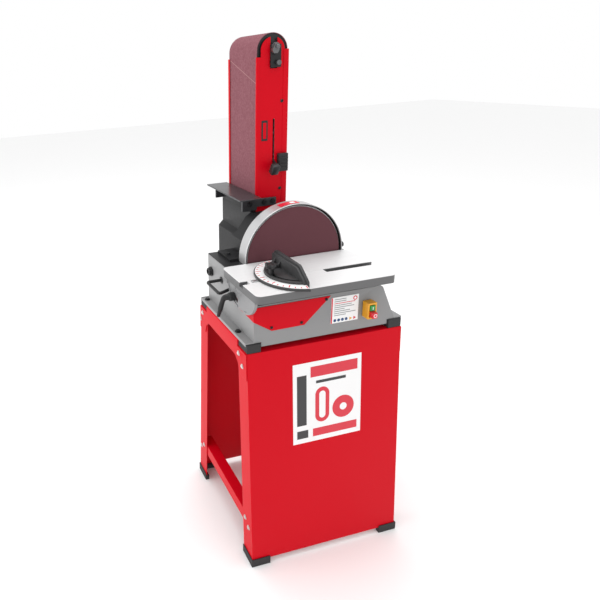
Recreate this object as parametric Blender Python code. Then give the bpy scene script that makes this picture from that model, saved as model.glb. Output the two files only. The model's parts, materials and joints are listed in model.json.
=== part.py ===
"""Belt and disc sander on an open sheet-metal stand.

Frame: metres, +Z up, origin on the floor under the middle of the stand. +X runs to the right along
the front panel, +Y runs backwards, so the disc and its table face -Y and the belt faces -X.
"""

import math

import bmesh
import bpy
from mathutils import Matrix, Vector

# ---- driving dimensions -------------------------------------------------------------------------
GAP = 0.0003            # air left between pieces that touch
SHEET = 0.002           # stand and casing sheet
SEGMENTS = 48           # sides of a full round

STAND_W = 0.390         # over the rails
STAND_D = 0.261         # at the top
STAND_H = 0.546
SPLAY = 0.031           # each panel leans out this far at the floor
LEG_DEPTH = 0.045       # folded side flanges of the panels
FOOT_H = 0.014
PAD_TOP = 0.5677

CASE_LEFT = -0.175
CASE_FRONT = -0.1265
CASE_BACK = 0.119
CASE_BOTTOM = 0.568
CASE_LOW_TOP = 0.655    # under the disc table
CASE_STEP_Y = 0.0075    # the taller rear part starts here
CASE_HIGH_TOP = 0.690
CASE_HIGH_RIGHT = 0.1425
FLANGE_OUT = 0.195
PLATE_TOP = 0.6923

SHAFT_Z = 0.700         # disc, drive drum and arm pivot share this axis
SHAFT_R = 0.007
DISC_R = 0.124
ABRASIVE_R = 0.1215
WELL_HALF = 0.1255      # the disc turns down through an opening this wide each way
DISC_Y = 0.008          # abrasive face
GUARD_R = 0.1290
GUARD_WALL = 0.0018
BELT_R = 0.0405         # outside of the sanding belt on its drums
BELT_T = 0.0012
DRUM_R = 0.039
BELT_LENGTH = 1.220
BELT_Y0 = 0.124
BELT_W = 0.150
ARM_HALF = 0.0425
ARM_SHEET = 0.0015
ARM_Y0 = 0.1205         # outer face of the front side plate
ARM_Y1 = 0.2775         # outer face of the back side plate
IDLER_Z = SHAFT_Z + BELT_LENGTH / 2 - math.pi * BELT_R

MOTOR_X, MOTOR_Z, MOTOR_R = 0.100, 0.608, 0.036
MOTOR_PULLEY_R, SHAFT_PULLEY_R = 0.022, 0.034
PULLEY_Y0, PULLEY_Y1 = 0.066, 0.080

TABLE_X0, TABLE_X1 = -0.1886, 0.1405
TABLE_Y0, TABLE_Y1 = -0.166, 0.0045
TABLE_Z0, TABLE_Z1 = 0.678, 0.697
TILT_Y, TILT_Z = -0.073, 0.684
SLOT_Y, SLOT_HALF, SLOT_DEPTH = -0.094, 0.00825, 0.0095
CLAMP_Y, CLAMP_Z = -0.054, 0.650
MITRE_X = -0.060        # pivot of the mitre head on its bar
MITRE_R = 0.088
MITRE_KNOB_X = -0.117
BELT_TABLE_Z = 0.830
LEVER_Y, LEVER_Z, LEVER_X = 0.199, 0.957, 0.005
LEVER_ANGLE = math.radians(210)  # where the lever points at rest, from +Y towards +Z


# ---- materials ----------------------------------------------------------------------------------
def material(name, colour, roughness, metallic=0.0):
    """One Principled material; colour is linear RGB."""
    found = bpy.data.materials.get(name)
    if found:
        return found
    made = bpy.data.materials.new(name)
    made.use_nodes = True
    shader = made.node_tree.nodes["Principled BSDF"]
    shader.inputs["Base Color"].default_value = (*colour, 1.0)
    shader.inputs["Roughness"].default_value = roughness
    shader.inputs["Metallic"].default_value = metallic
    return made


def red_paint():
    return material("red_paint", (0.60, 0.006, 0.012), 0.35)


def grey_paint():
    return material("grey_paint", (0.32, 0.32, 0.33), 0.45)


def black_paint():
    return material("black_paint", (0.018, 0.018, 0.019), 0.5)


def black_rubber():
    return material("black_rubber", (0.012, 0.012, 0.012), 0.8)


def black_plastic():
    return material("black_plastic", (0.015, 0.015, 0.016), 0.4)


def bright_steel():
    return material("bright_steel", (0.55, 0.55, 0.56), 0.3, 1.0)


def cast_aluminium():
    return material("cast_aluminium", (0.72, 0.72, 0.72), 0.4, 0.8)


def abrasive():
    return material("abrasive", (0.085, 0.032, 0.033), 0.95)


def yellow_plastic():
    return material("yellow_plastic", (0.80, 0.38, 0.02), 0.45)


# ---- building helpers ---------------------------------------------------------------------------
def add_object(name, mesh_data, paint, smooth=False):
    """Wrap a bmesh as a named object with one material and outward faces."""
    bmesh.ops.recalc_face_normals(mesh_data, faces=mesh_data.faces)
    mesh = bpy.data.meshes.new(name)
    mesh_data.to_mesh(mesh)
    mesh_data.free()
    mesh.materials.append(paint)
    if smooth:
        mesh.shade_smooth()
        mesh.set_sharp_from_angle(angle=math.radians(35))
    made = bpy.data.objects.new(name, mesh)
    bpy.context.scene.collection.objects.link(made)
    return made


def lift(axis, along, u, v):
    """A point from its place along an axis and its two other coordinates, in X, Y, Z order."""
    point = {"X": (along, u, v), "Y": (u, along, v), "Z": (u, v, along)}[axis]
    return Vector(point)


def prism(name, outline, axis, start, end, paint, smooth=False):
    """Extrude a closed outline of (u, v) points along an axis."""
    shape = bmesh.new()
    first = [shape.verts.new(lift(axis, start, u, v)) for u, v in outline]
    last = [shape.verts.new(lift(axis, end, u, v)) for u, v in outline]
    shape.faces.new(first)
    shape.faces.new(last)
    for i, corner in enumerate(first):
        j = (i + 1) % len(first)
        shape.faces.new((corner, first[j], last[j], last[i]))
    return add_object(name, shape, paint, smooth)


def ring_prism(name, outer, inner, axis, start, end, paint):
    """Extrude the band between two outlines that have the same number of points."""
    shape = bmesh.new()
    loops = [[shape.verts.new(lift(axis, along, u, v)) for u, v in line]
             for line in (outer, inner) for along in (start, end)]
    outer_a, outer_b, inner_a, inner_b = loops
    count = len(outer)
    for i in range(count):
        j = (i + 1) % count
        shape.faces.new((outer_a[i], outer_a[j], outer_b[j], outer_b[i]))
        shape.faces.new((inner_a[i], inner_a[j], inner_b[j], inner_b[i]))
        shape.faces.new((outer_a[i], outer_a[j], inner_a[j], inner_a[i]))
        shape.faces.new((outer_b[i], outer_b[j], inner_b[j], inner_b[i]))
    return add_object(name, shape, paint, smooth=True)


def box(name, low, high, paint):
    """A block between two opposite corners."""
    outline = [(low[0], low[1]), (high[0], low[1]), (high[0], high[1]), (low[0], high[1])]
    return prism(name, outline, "Z", low[2], high[2], paint)


def turned(name, profile, axis, centre, paint, segments=SEGMENTS):
    """Turn a closed (radius, along) profile round an axis through the (u, v) centre."""
    shape = bmesh.new()
    rings = []
    for k in range(segments):
        turn = 2 * math.pi * k / segments
        ring = []
        for radius, along in profile:
            if radius == 0 and k:
                ring.append(rings[0][len(ring)])
                continue
            u = centre[0] + radius * math.cos(turn)
            v = centre[1] + radius * math.sin(turn)
            ring.append(shape.verts.new(lift(axis, along, u, v)))
        rings.append(ring)
    count = len(profile)
    for k, ring in enumerate(rings):
        after = rings[(k + 1) % segments]
        for i in range(count):
            j = (i + 1) % count
            corners = []
            for corner in (ring[i], ring[j], after[j], after[i]):
                if corner not in corners:
                    corners.append(corner)
            if len(corners) > 2:
                shape.faces.new(corners)
    return add_object(name, shape, paint, smooth=True)


def rod(name, radius, axis, centre, start, end, paint, segments=SEGMENTS):
    """A solid cylinder along an axis."""
    profile = [(0, start), (radius, start), (radius, end), (0, end)]
    return turned(name, profile, axis, centre, paint, segments)


def sleeve(name, outer, inner, axis, centre, start, end, paint, segments=SEGMENTS):
    """A hollow cylinder along an axis."""
    profile = [(outer, start), (outer, end), (inner, end), (inner, start)]
    return turned(name, profile, axis, centre, paint, segments)


def tube(name, path, radii, paint, sides=16):
    """A round bar along a path of points, mitred at each bend, with a radius for each point."""
    shape = bmesh.new()
    points = [Vector(p) for p in path]
    side = None
    rings = []
    for i, point in enumerate(points):
        before = (point - points[i - 1]).normalized() if i else None
        after = (points[i + 1] - point).normalized() if i + 1 < len(points) else None
        way = ((before or after) + (after or before)).normalized()
        if side is None:
            side = way.orthogonal().normalized()
        side = (side - side.dot(way) * way).normalized()
        across = way.cross(side)
        stretch = 1 / max(0.5, way.dot(after or before))
        bend = (after - before) if before and after else Vector()
        bend = bend.normalized() if bend.length > 1e-6 else bend
        ring = []
        for k in range(sides):
            turn = 2 * math.pi * k / sides
            spoke = radii[i] * (math.cos(turn) * side + math.sin(turn) * across)
            spoke += bend * spoke.dot(bend) * (stretch - 1)
            ring.append(shape.verts.new(point + spoke))
        rings.append(ring)
    for ring, after_ring in zip(rings, rings[1:]):
        for k in range(sides):
            j = (k + 1) % sides
            shape.faces.new((ring[k], ring[j], after_ring[j], after_ring[k]))
    shape.faces.new(rings[0])
    shape.faces.new(rings[-1])
    return add_object(name, shape, paint, smooth=True)


def arc(centre, radius, start, end, steps):
    """Points of a circular arc, angles in degrees."""
    angles = [math.radians(start + (end - start) * k / steps) for k in range(steps + 1)]
    return [(centre[0] + radius * math.cos(a), centre[1] + radius * math.sin(a)) for a in angles]


def combine(target, tool, operation):
    """Add an exact Boolean to target and leave the tool as a hidden guide."""
    tool.hide_render = True
    tool.display_type = "WIRE"
    step = target.modifiers.new(tool.name, "BOOLEAN")
    step.operation = operation
    step.solver = "EXACT"
    step.object = tool
    return target


def cut(target, tool):
    return combine(target, tool, "DIFFERENCE")


def join(target, tool):
    return combine(target, tool, "UNION")


def soften(target, width, segments=2, angle=40):
    """Round the sharp edges of an object."""
    bevel = target.modifiers.new("soften", "BEVEL")
    bevel.width = width
    bevel.segments = segments
    bevel.limit_method = "ANGLE"
    bevel.angle_limit = math.radians(angle)
    return target


def pivot_at(target, point):
    """Put an object's origin on its joint without moving its surface."""
    target.data.transform(Matrix.Translation(-Vector(point)))
    target.location = point
    return target


def belt_outline(first, second, offset, steps):
    """Outline of a belt round two pulleys ((u, v), radius), set off from them by offset."""
    (centre_a, radius_a), (centre_b, radius_b) = first, second
    du, dv = centre_b[0] - centre_a[0], centre_b[1] - centre_a[1]
    heading = math.degrees(math.atan2(dv, du))
    lean = math.degrees(math.acos((radius_a - radius_b) / math.hypot(du, dv)))
    far = arc(centre_b, radius_b + offset, heading - lean, heading + lean, steps)
    near = arc(centre_a, radius_a + offset, heading + lean, heading + 360 - lean, steps)
    return far + near


# ---- stand --------------------------------------------------------------------------------------
def panel_face(z):
    """Distance of a stand panel's outer face from the middle at height z."""
    return STAND_D / 2 + SPLAY * (STAND_H - z) / (STAND_H - FOOT_H)


def leaning_block(name, half_width, inset, depth, low, high, side, paint):
    """A block whose outer and inner faces lean with the stand panel on one side."""
    shape = bmesh.new()
    corners = {}
    for z in (low, high):
        outer = side * (panel_face(z) - inset)
        inner = side * (panel_face(z) - depth)
        for x in (-half_width, half_width):
            for y in (outer, inner):
                corners[(z, x, y == outer)] = shape.verts.new((x, y, z))
    order = [(-half_width, True), (half_width, True), (half_width, False), (-half_width, False)]
    bottom = [corners[(low, x, out)] for x, out in order]
    top = [corners[(high, x, out)] for x, out in order]
    shape.faces.new(bottom)
    shape.faces.new(top)
    for i in range(4):
        j = (i + 1) % 4
        shape.faces.new((bottom[i], bottom[j], top[j], top[i]))
    return add_object(name, shape, paint)


def stand_panels():
    """Front and back panels: leaning sheets folded back into side legs and a top rim."""
    half = STAND_W / 2 - SHEET - GAP
    for name, side in (("stand_front_panel", -1), ("stand_back_panel", 1)):
        panel = leaning_block(name, half, 0, LEG_DEPTH, FOOT_H, STAND_H, side, red_paint())
        hollow = leaning_block(name + "_hollow", half - SHEET, SHEET, LEG_DEPTH + 0.01,
                               FOOT_H - 0.01, STAND_H - SHEET, side, red_paint())
        cut(panel, hollow)


RAIL_BOLTS = ((-0.095, 0.531), (-0.113, 0.508), (0.113, 0.531), (0.127, 0.508))


def stand_rails():
    """Top rails: gusseted plates over the leg flanges with a rounded channel between the pads."""
    gusset = [(-0.130, 0.545), (0.130, 0.545), (0.1325, 0.482), (0.098, 0.482), (0.090, 0.505),
              (0.075, 0.517), (-0.075, 0.517), (-0.090, 0.505), (-0.098, 0.482), (-0.1325, 0.482)]
    bend, reach, channel_end = 0.010, 0.030, 0.088
    for name, side in (("stand_rail_left", -1), ("stand_rail_right", 1)):
        outer = side * STAND_W / 2
        top = PAD_TOP - 0.0017
        rail = prism(name, gusset, "X", outer, outer - side * SHEET, red_paint())
        skin = [(STAND_W / 2, 0.530), *arc((STAND_W / 2 - bend, top - bend), bend, 0, 90, 6),
                (STAND_W / 2 - reach, top), (STAND_W / 2 - reach, top - SHEET)]
        skin += arc((STAND_W / 2 - bend, top - bend), bend - SHEET, 90, 0, 6)
        skin.append((STAND_W / 2 - SHEET, 0.530))
        outline = [(side * x, z) for x, z in skin]
        channel = prism(name + "_channel", outline, "Y", -channel_end, channel_end, red_paint())
        join(rail, channel)
        for k, (y, z) in enumerate(RAIL_BOLTS):
            head = rod(f"{name}_bolt_{k}", 0.0036, "X", (y, z), outer - side * SHEET / 2,
                       outer + side * 0.0026, red_paint(), 12)
            join(rail, head)


def stand_stretchers():
    """Lower stretchers: angle irons bolted inside the leg flanges."""
    face = STAND_W / 2 - 2 * SHEET - 2 * GAP
    low, high, shelf, end = 0.088, 0.118, 0.028, 0.150
    section = [(face, low), (face, high), (face - shelf, high), (face - shelf, high - SHEET),
               (face - SHEET, high - SHEET), (face - SHEET, low)]
    for name, side in (("stand_stretcher_left", -1), ("stand_stretcher_right", 1)):
        prism(name, [(side * x, z) for x, z in section], "Y", -end, end, red_paint())


def stand_feet():
    """Rubber shoes under the corners: an L under the sheet edge with a lip outside it."""
    sheet_x = STAND_W / 2 - SHEET - GAP
    sheet_y = panel_face(FOOT_H)
    lip, arm, width, lip_top = 0.0024, 0.048, 0.011, 0.0205
    for name, sx, sy in (("foot_front_left", -1, -1), ("foot_front_right", 1, -1),
                         ("foot_back_left", -1, 1), ("foot_back_right", 1, 1)):
        out_x, out_y = sheet_x + GAP + lip, sheet_y + GAP + lip

        def ell(wide):
            corners = [(out_x, out_y), (out_x - arm, out_y), (out_x - arm, out_y - wide),
                       (out_x - wide, out_y - wide), (out_x - wide, out_y - arm),
                       (out_x, out_y - arm)]
            return [(sx * x, sy * y) for x, y in corners]

        foot = prism(name, ell(width), "Z", 0, FOOT_H - GAP, black_rubber())
        rim = prism(name + "_lip", ell(lip), "Z", FOOT_H / 2, lip_top, black_rubber())
        join(foot, rim)


def corner_pads():
    """Rubber blocks between the stand's top corners and the machine's casing."""
    length_x, length_y = 0.036, 0.042
    for name, sx, sy in (("pad_front_left", -1, -1), ("pad_front_right", 1, -1),
                         ("pad_back_left", -1, 1), ("pad_back_right", 1, 1)):
        xs = sorted((sx * (FLANGE_OUT - 0.0024), sx * (STAND_W / 2 - length_x)))
        ys = sorted((sy * STAND_D / 2, sy * (STAND_D / 2 - length_y)))
        box(name, (xs[0], ys[0], STAND_H + GAP), (xs[1], ys[1], PAD_TOP), black_rubber())


# ---- casing -------------------------------------------------------------------------------------
def case_section(inset, low):
    """Front view of the lower casing: upright left wall, slanting right wall, round shoulder."""
    right_foot = 0.1760 - inset
    shoulder, radius = (0.1330 - inset, CASE_LOW_TOP - 0.010), 0.010 - inset / 2
    curve = arc(shoulder, radius, 20, 90, 5)
    curve[-1] = (shoulder[0], CASE_LOW_TOP - inset)
    return [(CASE_LEFT + inset, low), (right_foot, low), *curve,
            (CASE_LEFT + inset, CASE_LOW_TOP - inset)]


def casing():
    """Grey sheet casing: low under the disc table, taller behind, open below, with side flanges."""
    case = prism("base_casing", case_section(0, CASE_BOTTOM), "Y", CASE_FRONT, CASE_BACK,
                 grey_paint())
    join(case, box("casing_rear", (CASE_LEFT, CASE_STEP_Y, 0.60),
                   (CASE_HIGH_RIGHT, CASE_BACK, CASE_HIGH_TOP), grey_paint()))
    cut(case, prism("casing_hollow", case_section(SHEET, CASE_BOTTOM - 0.01), "Y",
                    CASE_FRONT + SHEET, CASE_BACK - SHEET, grey_paint()))
    cut(case, box("casing_rear_hollow", (CASE_LEFT + SHEET, CASE_STEP_Y + SHEET, 0.59),
                  (CASE_HIGH_RIGHT - SHEET, CASE_BACK - SHEET, CASE_HIGH_TOP - SHEET),
                  grey_paint()))
    for tool in top_openings("casing", 0.64):
        cut(case, tool)
    flange = 0.0025
    for name, x0, x1 in (("casing_flange_left", -FLANGE_OUT, CASE_LEFT + SHEET / 2),
                         ("casing_flange_right", 0.1755 - SHEET / 2, FLANGE_OUT)):
        join(case, box(name, (x0, CASE_FRONT - 0.0005, CASE_BOTTOM),
                       (x1, CASE_BACK + 0.0005, CASE_BOTTOM + flange), grey_paint()))
    lip_x, lip_low = FLANGE_OUT - 0.0018, 0.5635
    for name, x0, x1 in (("casing_lip_left", -FLANGE_OUT + 0.0001, -lip_x),
                         ("casing_lip_right", lip_x, FLANGE_OUT - 0.0001)):
        join(case, box(name, (x0, CASE_FRONT, lip_low), (x1, CASE_BACK, CASE_BOTTOM + flange / 2),
                       grey_paint()))
    join(case, box("casing_skirt", (-0.157, CASE_FRONT + 0.0002, 0.557),
                   (0.157, CASE_FRONT + SHEET - 0.0002, 0.572), grey_paint()))
    gap_y = CASE_STEP_Y - 0.0005
    cut(case, box("casing_disc_mouth", (-WELL_HALF, gap_y, 0.6450), (WELL_HALF, 0.012, 0.71),
                  grey_paint()))
    return case


def top_openings(owner, low):
    """Openings in the rear top: the disc's well, the slot under the shaft and the arm's notch."""
    high = PLATE_TOP + 0.01
    well = box(owner + "_disc_well", (-WELL_HALF, 0.0110, low), (WELL_HALF, 0.046, high), grey_paint())
    slot = box(owner + "_shaft_slot", (-0.044, 0.040, low), (0.066, 0.114, high), grey_paint())
    notch = box(owner + "_arm_notch", (0.085, 0.1125, low), (0.150, 0.125, high), grey_paint())
    return [well, slot, notch]


def top_plate():
    """Black plate that closes the rear of the casing and carries the drum housing."""
    low = CASE_HIGH_TOP + GAP
    plate = box("top_plate", (CASE_LEFT + 0.0005, CASE_STEP_Y + 0.0005, low),
                (CASE_HIGH_RIGHT - 0.0005, CASE_BACK - 0.0005, PLATE_TOP), black_paint())
    for tool in top_openings("plate", low - 0.01):
        cut(plate, tool)
    cut(plate, box("plate_disc_mouth", (-WELL_HALF, CASE_STEP_Y - 0.001, low - 0.01),
                   (WELL_HALF, 0.012, PLATE_TOP + 0.01), black_paint()))


def red_cover():
    """Red cover sheet wrapped round the casing's front left corner."""
    front, side, sheet = CASE_FRONT - GAP, CASE_LEFT - GAP, 0.0012
    top, corner = 0.6515, (side - sheet, 0.6190)
    face = [(corner[0], top), (0.0083, top), (-0.0547, 0.5925), (-0.1335, 0.5918), corner]
    cover = prism("red_cover", face, "Y", front - sheet, front, red_paint())
    wing = [(front - sheet, top), (front - sheet, corner[1]), (-0.035, 0.6215), (-0.035, top)]
    join(cover, prism("red_cover_wing", wing, "X", side - sheet, side, red_paint()))


def rating_plate():
    """Thin plate beside the switch for the machine's ratings."""
    back = CASE_FRONT - GAP
    box("rating_plate", (0.0105, back - 0.0008, 0.5825), (0.0790, back, 0.6450),
        material("white_plate", (0.8, 0.8, 0.8), 0.4))


def switch():
    """Switch box with a start and a stop button that slide in its pocket."""
    back, front, pocket = CASE_FRONT - GAP, -0.1460, -0.1335
    case = box("switch_box", (0.0900, front, 0.5880), (0.1125, back, 0.6265), yellow_plastic())
    cut(case, box("switch_pocket", (0.0945, front - 0.01, 0.5925), (0.1080, pocket, 0.6215),
                  yellow_plastic()))
    rest = pocket - 0.0035
    start = box("button_start", (0.0952, -0.1475, 0.6080), (0.1073, rest, 0.6208),
                material("green_plastic", (0.02, 0.30, 0.06), 0.4))
    stop = box("button_stop", (0.0952, -0.1560, 0.5932), (0.1073, rest, 0.6068),
               material("red_plastic", (0.65, 0.01, 0.02), 0.4))
    soften(start, 0.001)
    soften(stop, 0.0015)
    pivot_at(start, (0.1012, rest, 0.6144))
    pivot_at(stop, (0.1012, rest, 0.6000))


def carry_handle():
    """Bent-bar handle on the left wall."""
    wall, grip_x, z, radius, bend = CASE_LEFT - GAP, -0.212, 0.6500, 0.0038, 0.006
    near, far, root = -0.0315, 0.038, -0.0175
    path = [(wall, far, z), (grip_x + bend, far, z), (grip_x + bend * 0.3, far - bend * 0.3, z),
            (grip_x, far - bend, z), (grip_x, near + bend, z),
            (grip_x + bend * 0.3, near + bend * 0.5, z), (grip_x + bend, near + bend * 0.4, z),
            (wall - 0.004, root, z), (wall, root, z)]
    tube("carry_handle", path, [radius] * len(path), black_plastic())


def cable_gland():
    """Screwed gland for the supply cable at the rear of the left wall."""
    wall = CASE_LEFT - GAP
    profile = [(0.011, wall), (0.011, wall - 0.004), (0.0085, wall - 0.005),
               (0.0085, wall - 0.009), (0.0045, wall - 0.011), (0.0045, wall)]
    turned("cable_gland", profile, "X", (0.098, 0.650), black_plastic(), 24)


# ---- drive --------------------------------------------------------------------------------------
def motor(case):
    """Motor in the casing's front right, under a saddle that is one with the casing, and its pulley."""
    centre, front, back = (MOTOR_X, MOTOR_Z), -0.118, -0.013
    body = [(0, front), (MOTOR_R - 0.004, front), (MOTOR_R, front + 0.004),
            (MOTOR_R, back - 0.004), (MOTOR_R - 0.004, back), (0, back)]
    turned("motor_body", body, "Y", centre, black_paint(), 40)
    join(case, box("motor_saddle", (MOTOR_X - 0.030, -0.100, MOTOR_Z + 0.020),
                   (MOTOR_X + 0.026, -0.030, CASE_LOW_TOP - SHEET / 2), grey_paint()))
    cut(case, rod("saddle_seat", MOTOR_R + GAP, "Y", centre, -0.104, -0.026, grey_paint(), 40))
    start, end, shaft = back + GAP, 0.088, 0.006
    profile = [(0, start), (shaft, start), (shaft, PULLEY_Y0), (MOTOR_PULLEY_R, PULLEY_Y0),
               (MOTOR_PULLEY_R, PULLEY_Y1), (shaft, PULLEY_Y1), (shaft, end), (0, end)]
    pulley = turned("motor_pulley", profile, "Y", centre, bright_steel(), 32)
    pivot_at(pulley, (MOTOR_X, PULLEY_Y0, MOTOR_Z))


def drive_belt():
    """Flat ribbed belt from the motor pulley up to the shaft pulley."""
    shaft = ((0, SHAFT_Z), SHAFT_PULLEY_R)
    drive = ((MOTOR_X, MOTOR_Z), MOTOR_PULLEY_R)
    thick, edge = 0.003, 0.0015
    outer = belt_outline(shaft, drive, GAP + thick, 20)
    inner = belt_outline(shaft, drive, GAP, 20)
    ring_prism("drive_belt", outer, inner, "Y", PULLEY_Y0 + edge, PULLEY_Y1 - edge,
               black_rubber())


BEARINGS = (("bearing_front", 0.0440), ("bearing_middle", 0.0980), ("bearing_rear", 0.2795))
BEARING_R, BEARING_W = 0.020, 0.012


def spindle():
    """Main shaft with its pulley, sanding disc and rubber-faced drive drum."""
    axis = (0, SHAFT_Z)
    hub_end = 0.0330
    shaft = rod("main_shaft", SHAFT_R, "Y", axis, hub_end + GAP, 0.2900, bright_steel(), 32)
    pulley = sleeve("shaft_pulley", SHAFT_PULLEY_R, SHAFT_R + GAP, "Y", axis, PULLEY_Y0,
                    PULLEY_Y1, cast_aluminium())
    drum = sleeve("drive_drum", DRUM_R, SHAFT_R + GAP, "Y", axis, BELT_Y0 + 0.003,
                  BELT_Y0 + BELT_W - 0.003, black_rubber(), 64)
    plate_y = DISC_Y + 0.0015
    profile = [(0, plate_y), (DISC_R - 0.0015, plate_y), (DISC_R, plate_y + 0.0015),
               (DISC_R, plate_y + 0.012), (0.020, plate_y + 0.012), (0.020, hub_end),
               (0, hub_end)]
    disc = turned("disc_plate", profile, "Y", axis, cast_aluminium(), 96)
    sheet = rod("disc_abrasive", ABRASIVE_R, "Y", axis, DISC_Y, DISC_Y + 0.0012, abrasive(), 96)
    for piece in (shaft, pulley, drum, disc, sheet):
        pivot_at(piece, (0, DISC_Y, SHAFT_Z))
    for name, start in BEARINGS:
        sleeve(name, BEARING_R, SHAFT_R + GAP, "Y", axis, start, start + BEARING_W,
               bright_steel(), 32)


def drum_housing():
    """Black cast box on the casing that holds the front bearings over the drive belt."""
    foot = PLATE_TOP + GAP
    front, rear, wall = 0.0385, 0.1125, 0.004
    crown = [(-0.1120, 0.7350), (-0.0980, 0.7450), (-0.0750, 0.7780), (-0.0600, 0.7885),
             (0.0450, 0.7850), (0.0750, 0.7620)]
    body = prism("drum_housing", [(0.0750, foot), (-0.1120, foot), *crown], "Y", front, rear,
                 black_paint())
    roof = [(-0.1060, 0.7290), (-0.0930, 0.7390), (-0.0700, 0.7720), (-0.0570, 0.7820),
            (0.0420, 0.7790), (0.0690, 0.7580)]
    cut(body, prism("housing_hollow", [(0.0690, 0.68), (-0.1060, 0.68), *roof], "Y",
                    front + wall, rear - wall, black_paint()))
    toe = 0.0063
    join(body, box("housing_toe_left", (-0.152, front + 0.001, foot - 0.0001),
                   (-0.108, rear - 0.002, foot + toe), black_paint()))
    join(body, box("housing_toe_right", (0.071, front + 0.001, foot - 0.0001),
                   (0.100, rear - 0.002, foot + toe), black_paint()))
    half, recess = 0.0265, 0.0015
    for name, start, end in (("front", front + recess, 0.0580), ("rear", 0.0960, rear - recess)):
        join(body, box(f"housing_boss_{name}", (-half, start, SHAFT_Z - half),
                       (half, end, SHAFT_Z + half), black_paint()))
        cut(body, rod(f"housing_bore_{name}", BEARING_R + GAP, "Y", (0, SHAFT_Z), start - 0.003,
                      end + 0.003, black_paint(), 32))


def drum_hood():
    """Hood behind the housing: an upright wall that runs round under the drive drum."""
    foot, start, end, wall = 0.6360, 0.1125 + GAP, 0.2790, 0.004
    outside = [(-0.0600, 0.7885), (-0.0600, 0.7220), (-0.0725, 0.7080), (-0.0725, 0.6200),
               (-0.0640, 0.6150), (-0.0300, 0.6260), (0.0, foot)]
    inside = [(0.0, foot + wall), (-0.0480, 0.6440), (-0.0685, 0.6620), (-0.0685, 0.7095),
              (-0.0560, 0.7235), (-0.0560, 0.7885)]
    hood = prism("drum_hood", outside + inside, "Y", start, end + wall, black_paint())
    cut(hood, box("hood_relief", (-0.090, start - 0.01, 0.60), (0.010, CASE_BACK + 0.0005,
                                                               PLATE_TOP + GAP), black_paint()))
    back = [(-0.0580, 0.7865), (-0.0580, 0.7215), (-0.0705, 0.7075), (-0.0705, 0.6215),
            (-0.0635, 0.6175), (-0.0300, 0.6285), (0.0, 0.6380), (0.0300, 0.6780), (0.0300, 0.7300),
            (-0.0300, 0.7865)]
    join(hood, prism("hood_back", back, "Y", end, end + wall - 0.0003, black_paint()))
    join(hood, rod("hood_boss", BEARING_R + 0.006, "Y", (0, SHAFT_Z), end + 0.001, 0.2920,
                   black_paint(), 32))
    cut(hood, rod("hood_bore", BEARING_R + GAP, "Y", (0, SHAFT_Z), end - 0.003, 0.2950,
                  black_paint(), 32))


def disc_guard():
    """Cast half-ring round the top of the disc with a web behind it."""
    centre, drop = (0, SHAFT_Z), 3.2
    inner = GUARD_R - GUARD_WALL
    ring = arc(centre, GUARD_R, -drop, 180 + drop, 48) + arc(centre, inner, 180 + drop, -drop, 48)
    guard = prism("disc_guard", ring, "Y", 0.006, 0.0382, cast_aluminium(), smooth=True)
    web = arc(centre, inner + GUARD_WALL / 2, -drop, 180 + drop, 48)
    join(guard, prism("guard_web", web, "Y", 0.034, 0.0377, cast_aluminium()))
    cut(guard, rod("guard_eye", 0.028, "Y", centre, 0.03, 0.05, cast_aluminium(), 32))
    x, turn_y, turn_z = GUARD_R + GAP, 0.022, 0.705
    profile = [(0, x), (0.0035, x), (0.0035, x + 0.004), (0.0062, x + 0.0045), (0.0068, x + 0.012),
               (0, x + 0.013)]
    knob = turned("guard_knob", profile, "X", (turn_y, turn_z), black_plastic(), 24)
    pivot_at(knob, (x, turn_y, turn_z))


# ---- belt arm -----------------------------------------------------------------------------------
def side_outline():
    """Arm side plate: round below at the pivot, stepped shoulders and a narrower dome above."""
    left_step, right_step, dome = 1.1670, 1.1835, 0.0310
    foot = arc((0, SHAFT_Z), ARM_HALF, 180, 360, 24)
    top = arc((0, IDLER_Z), dome, 0, 180, 24)
    return foot + [(ARM_HALF, right_step), (dome, right_step), *top, (-dome, left_step),
                   (-ARM_HALF, left_step)]


def arm_sides():
    """Red side plates with folded edges, an open slot for the idler axle and the lever slit."""
    slot_left, slot_right, slot_low, lip = -0.0066, 0.0120, 1.1400, 0.0016
    for name, outer, inward in (("arm_side_front", ARM_Y0, 1), ("arm_side_back", ARM_Y1, -1)):
        plate = prism(name, side_outline(), "Y", outer, outer + inward * ARM_SHEET, red_paint())
        for index, (x0, x1, low, high) in enumerate((
                (-ARM_HALF, -ARM_HALF + ARM_SHEET / 2, 0.8100, 1.1670),
                (ARM_HALF - ARM_SHEET, ARM_HALF, 0.8100, 1.1700))):
            ys = sorted((outer, outer + inward * (ARM_SHEET + lip)))
            join(plate, box(f"{name}_lip_{index}", (x0, ys[0], low), (x1, ys[1], high),
                            red_paint()))
        ys = sorted((outer - inward * 0.005, outer + inward * 0.010))
        cut(plate, box(name + "_slot", (slot_left, ys[0], slot_low), (slot_right, ys[1], 1.25),
                       red_paint()))
        cut(plate, rod(name + "_eye", 0.0125, "Y", (0, SHAFT_Z), ys[0], ys[1], red_paint(), 32))
        if inward > 0:
            cut(plate, lever_slit(name))


def lever_slit(owner):
    """Cutter for the long slit that the tension lever swings in."""
    half, reach = 0.0026, 0.062
    return box(owner + "_slit", (LEVER_X - half, 0.115, LEVER_Z - reach),
               (LEVER_X + half, 0.130, LEVER_Z + reach), red_paint())


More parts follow.
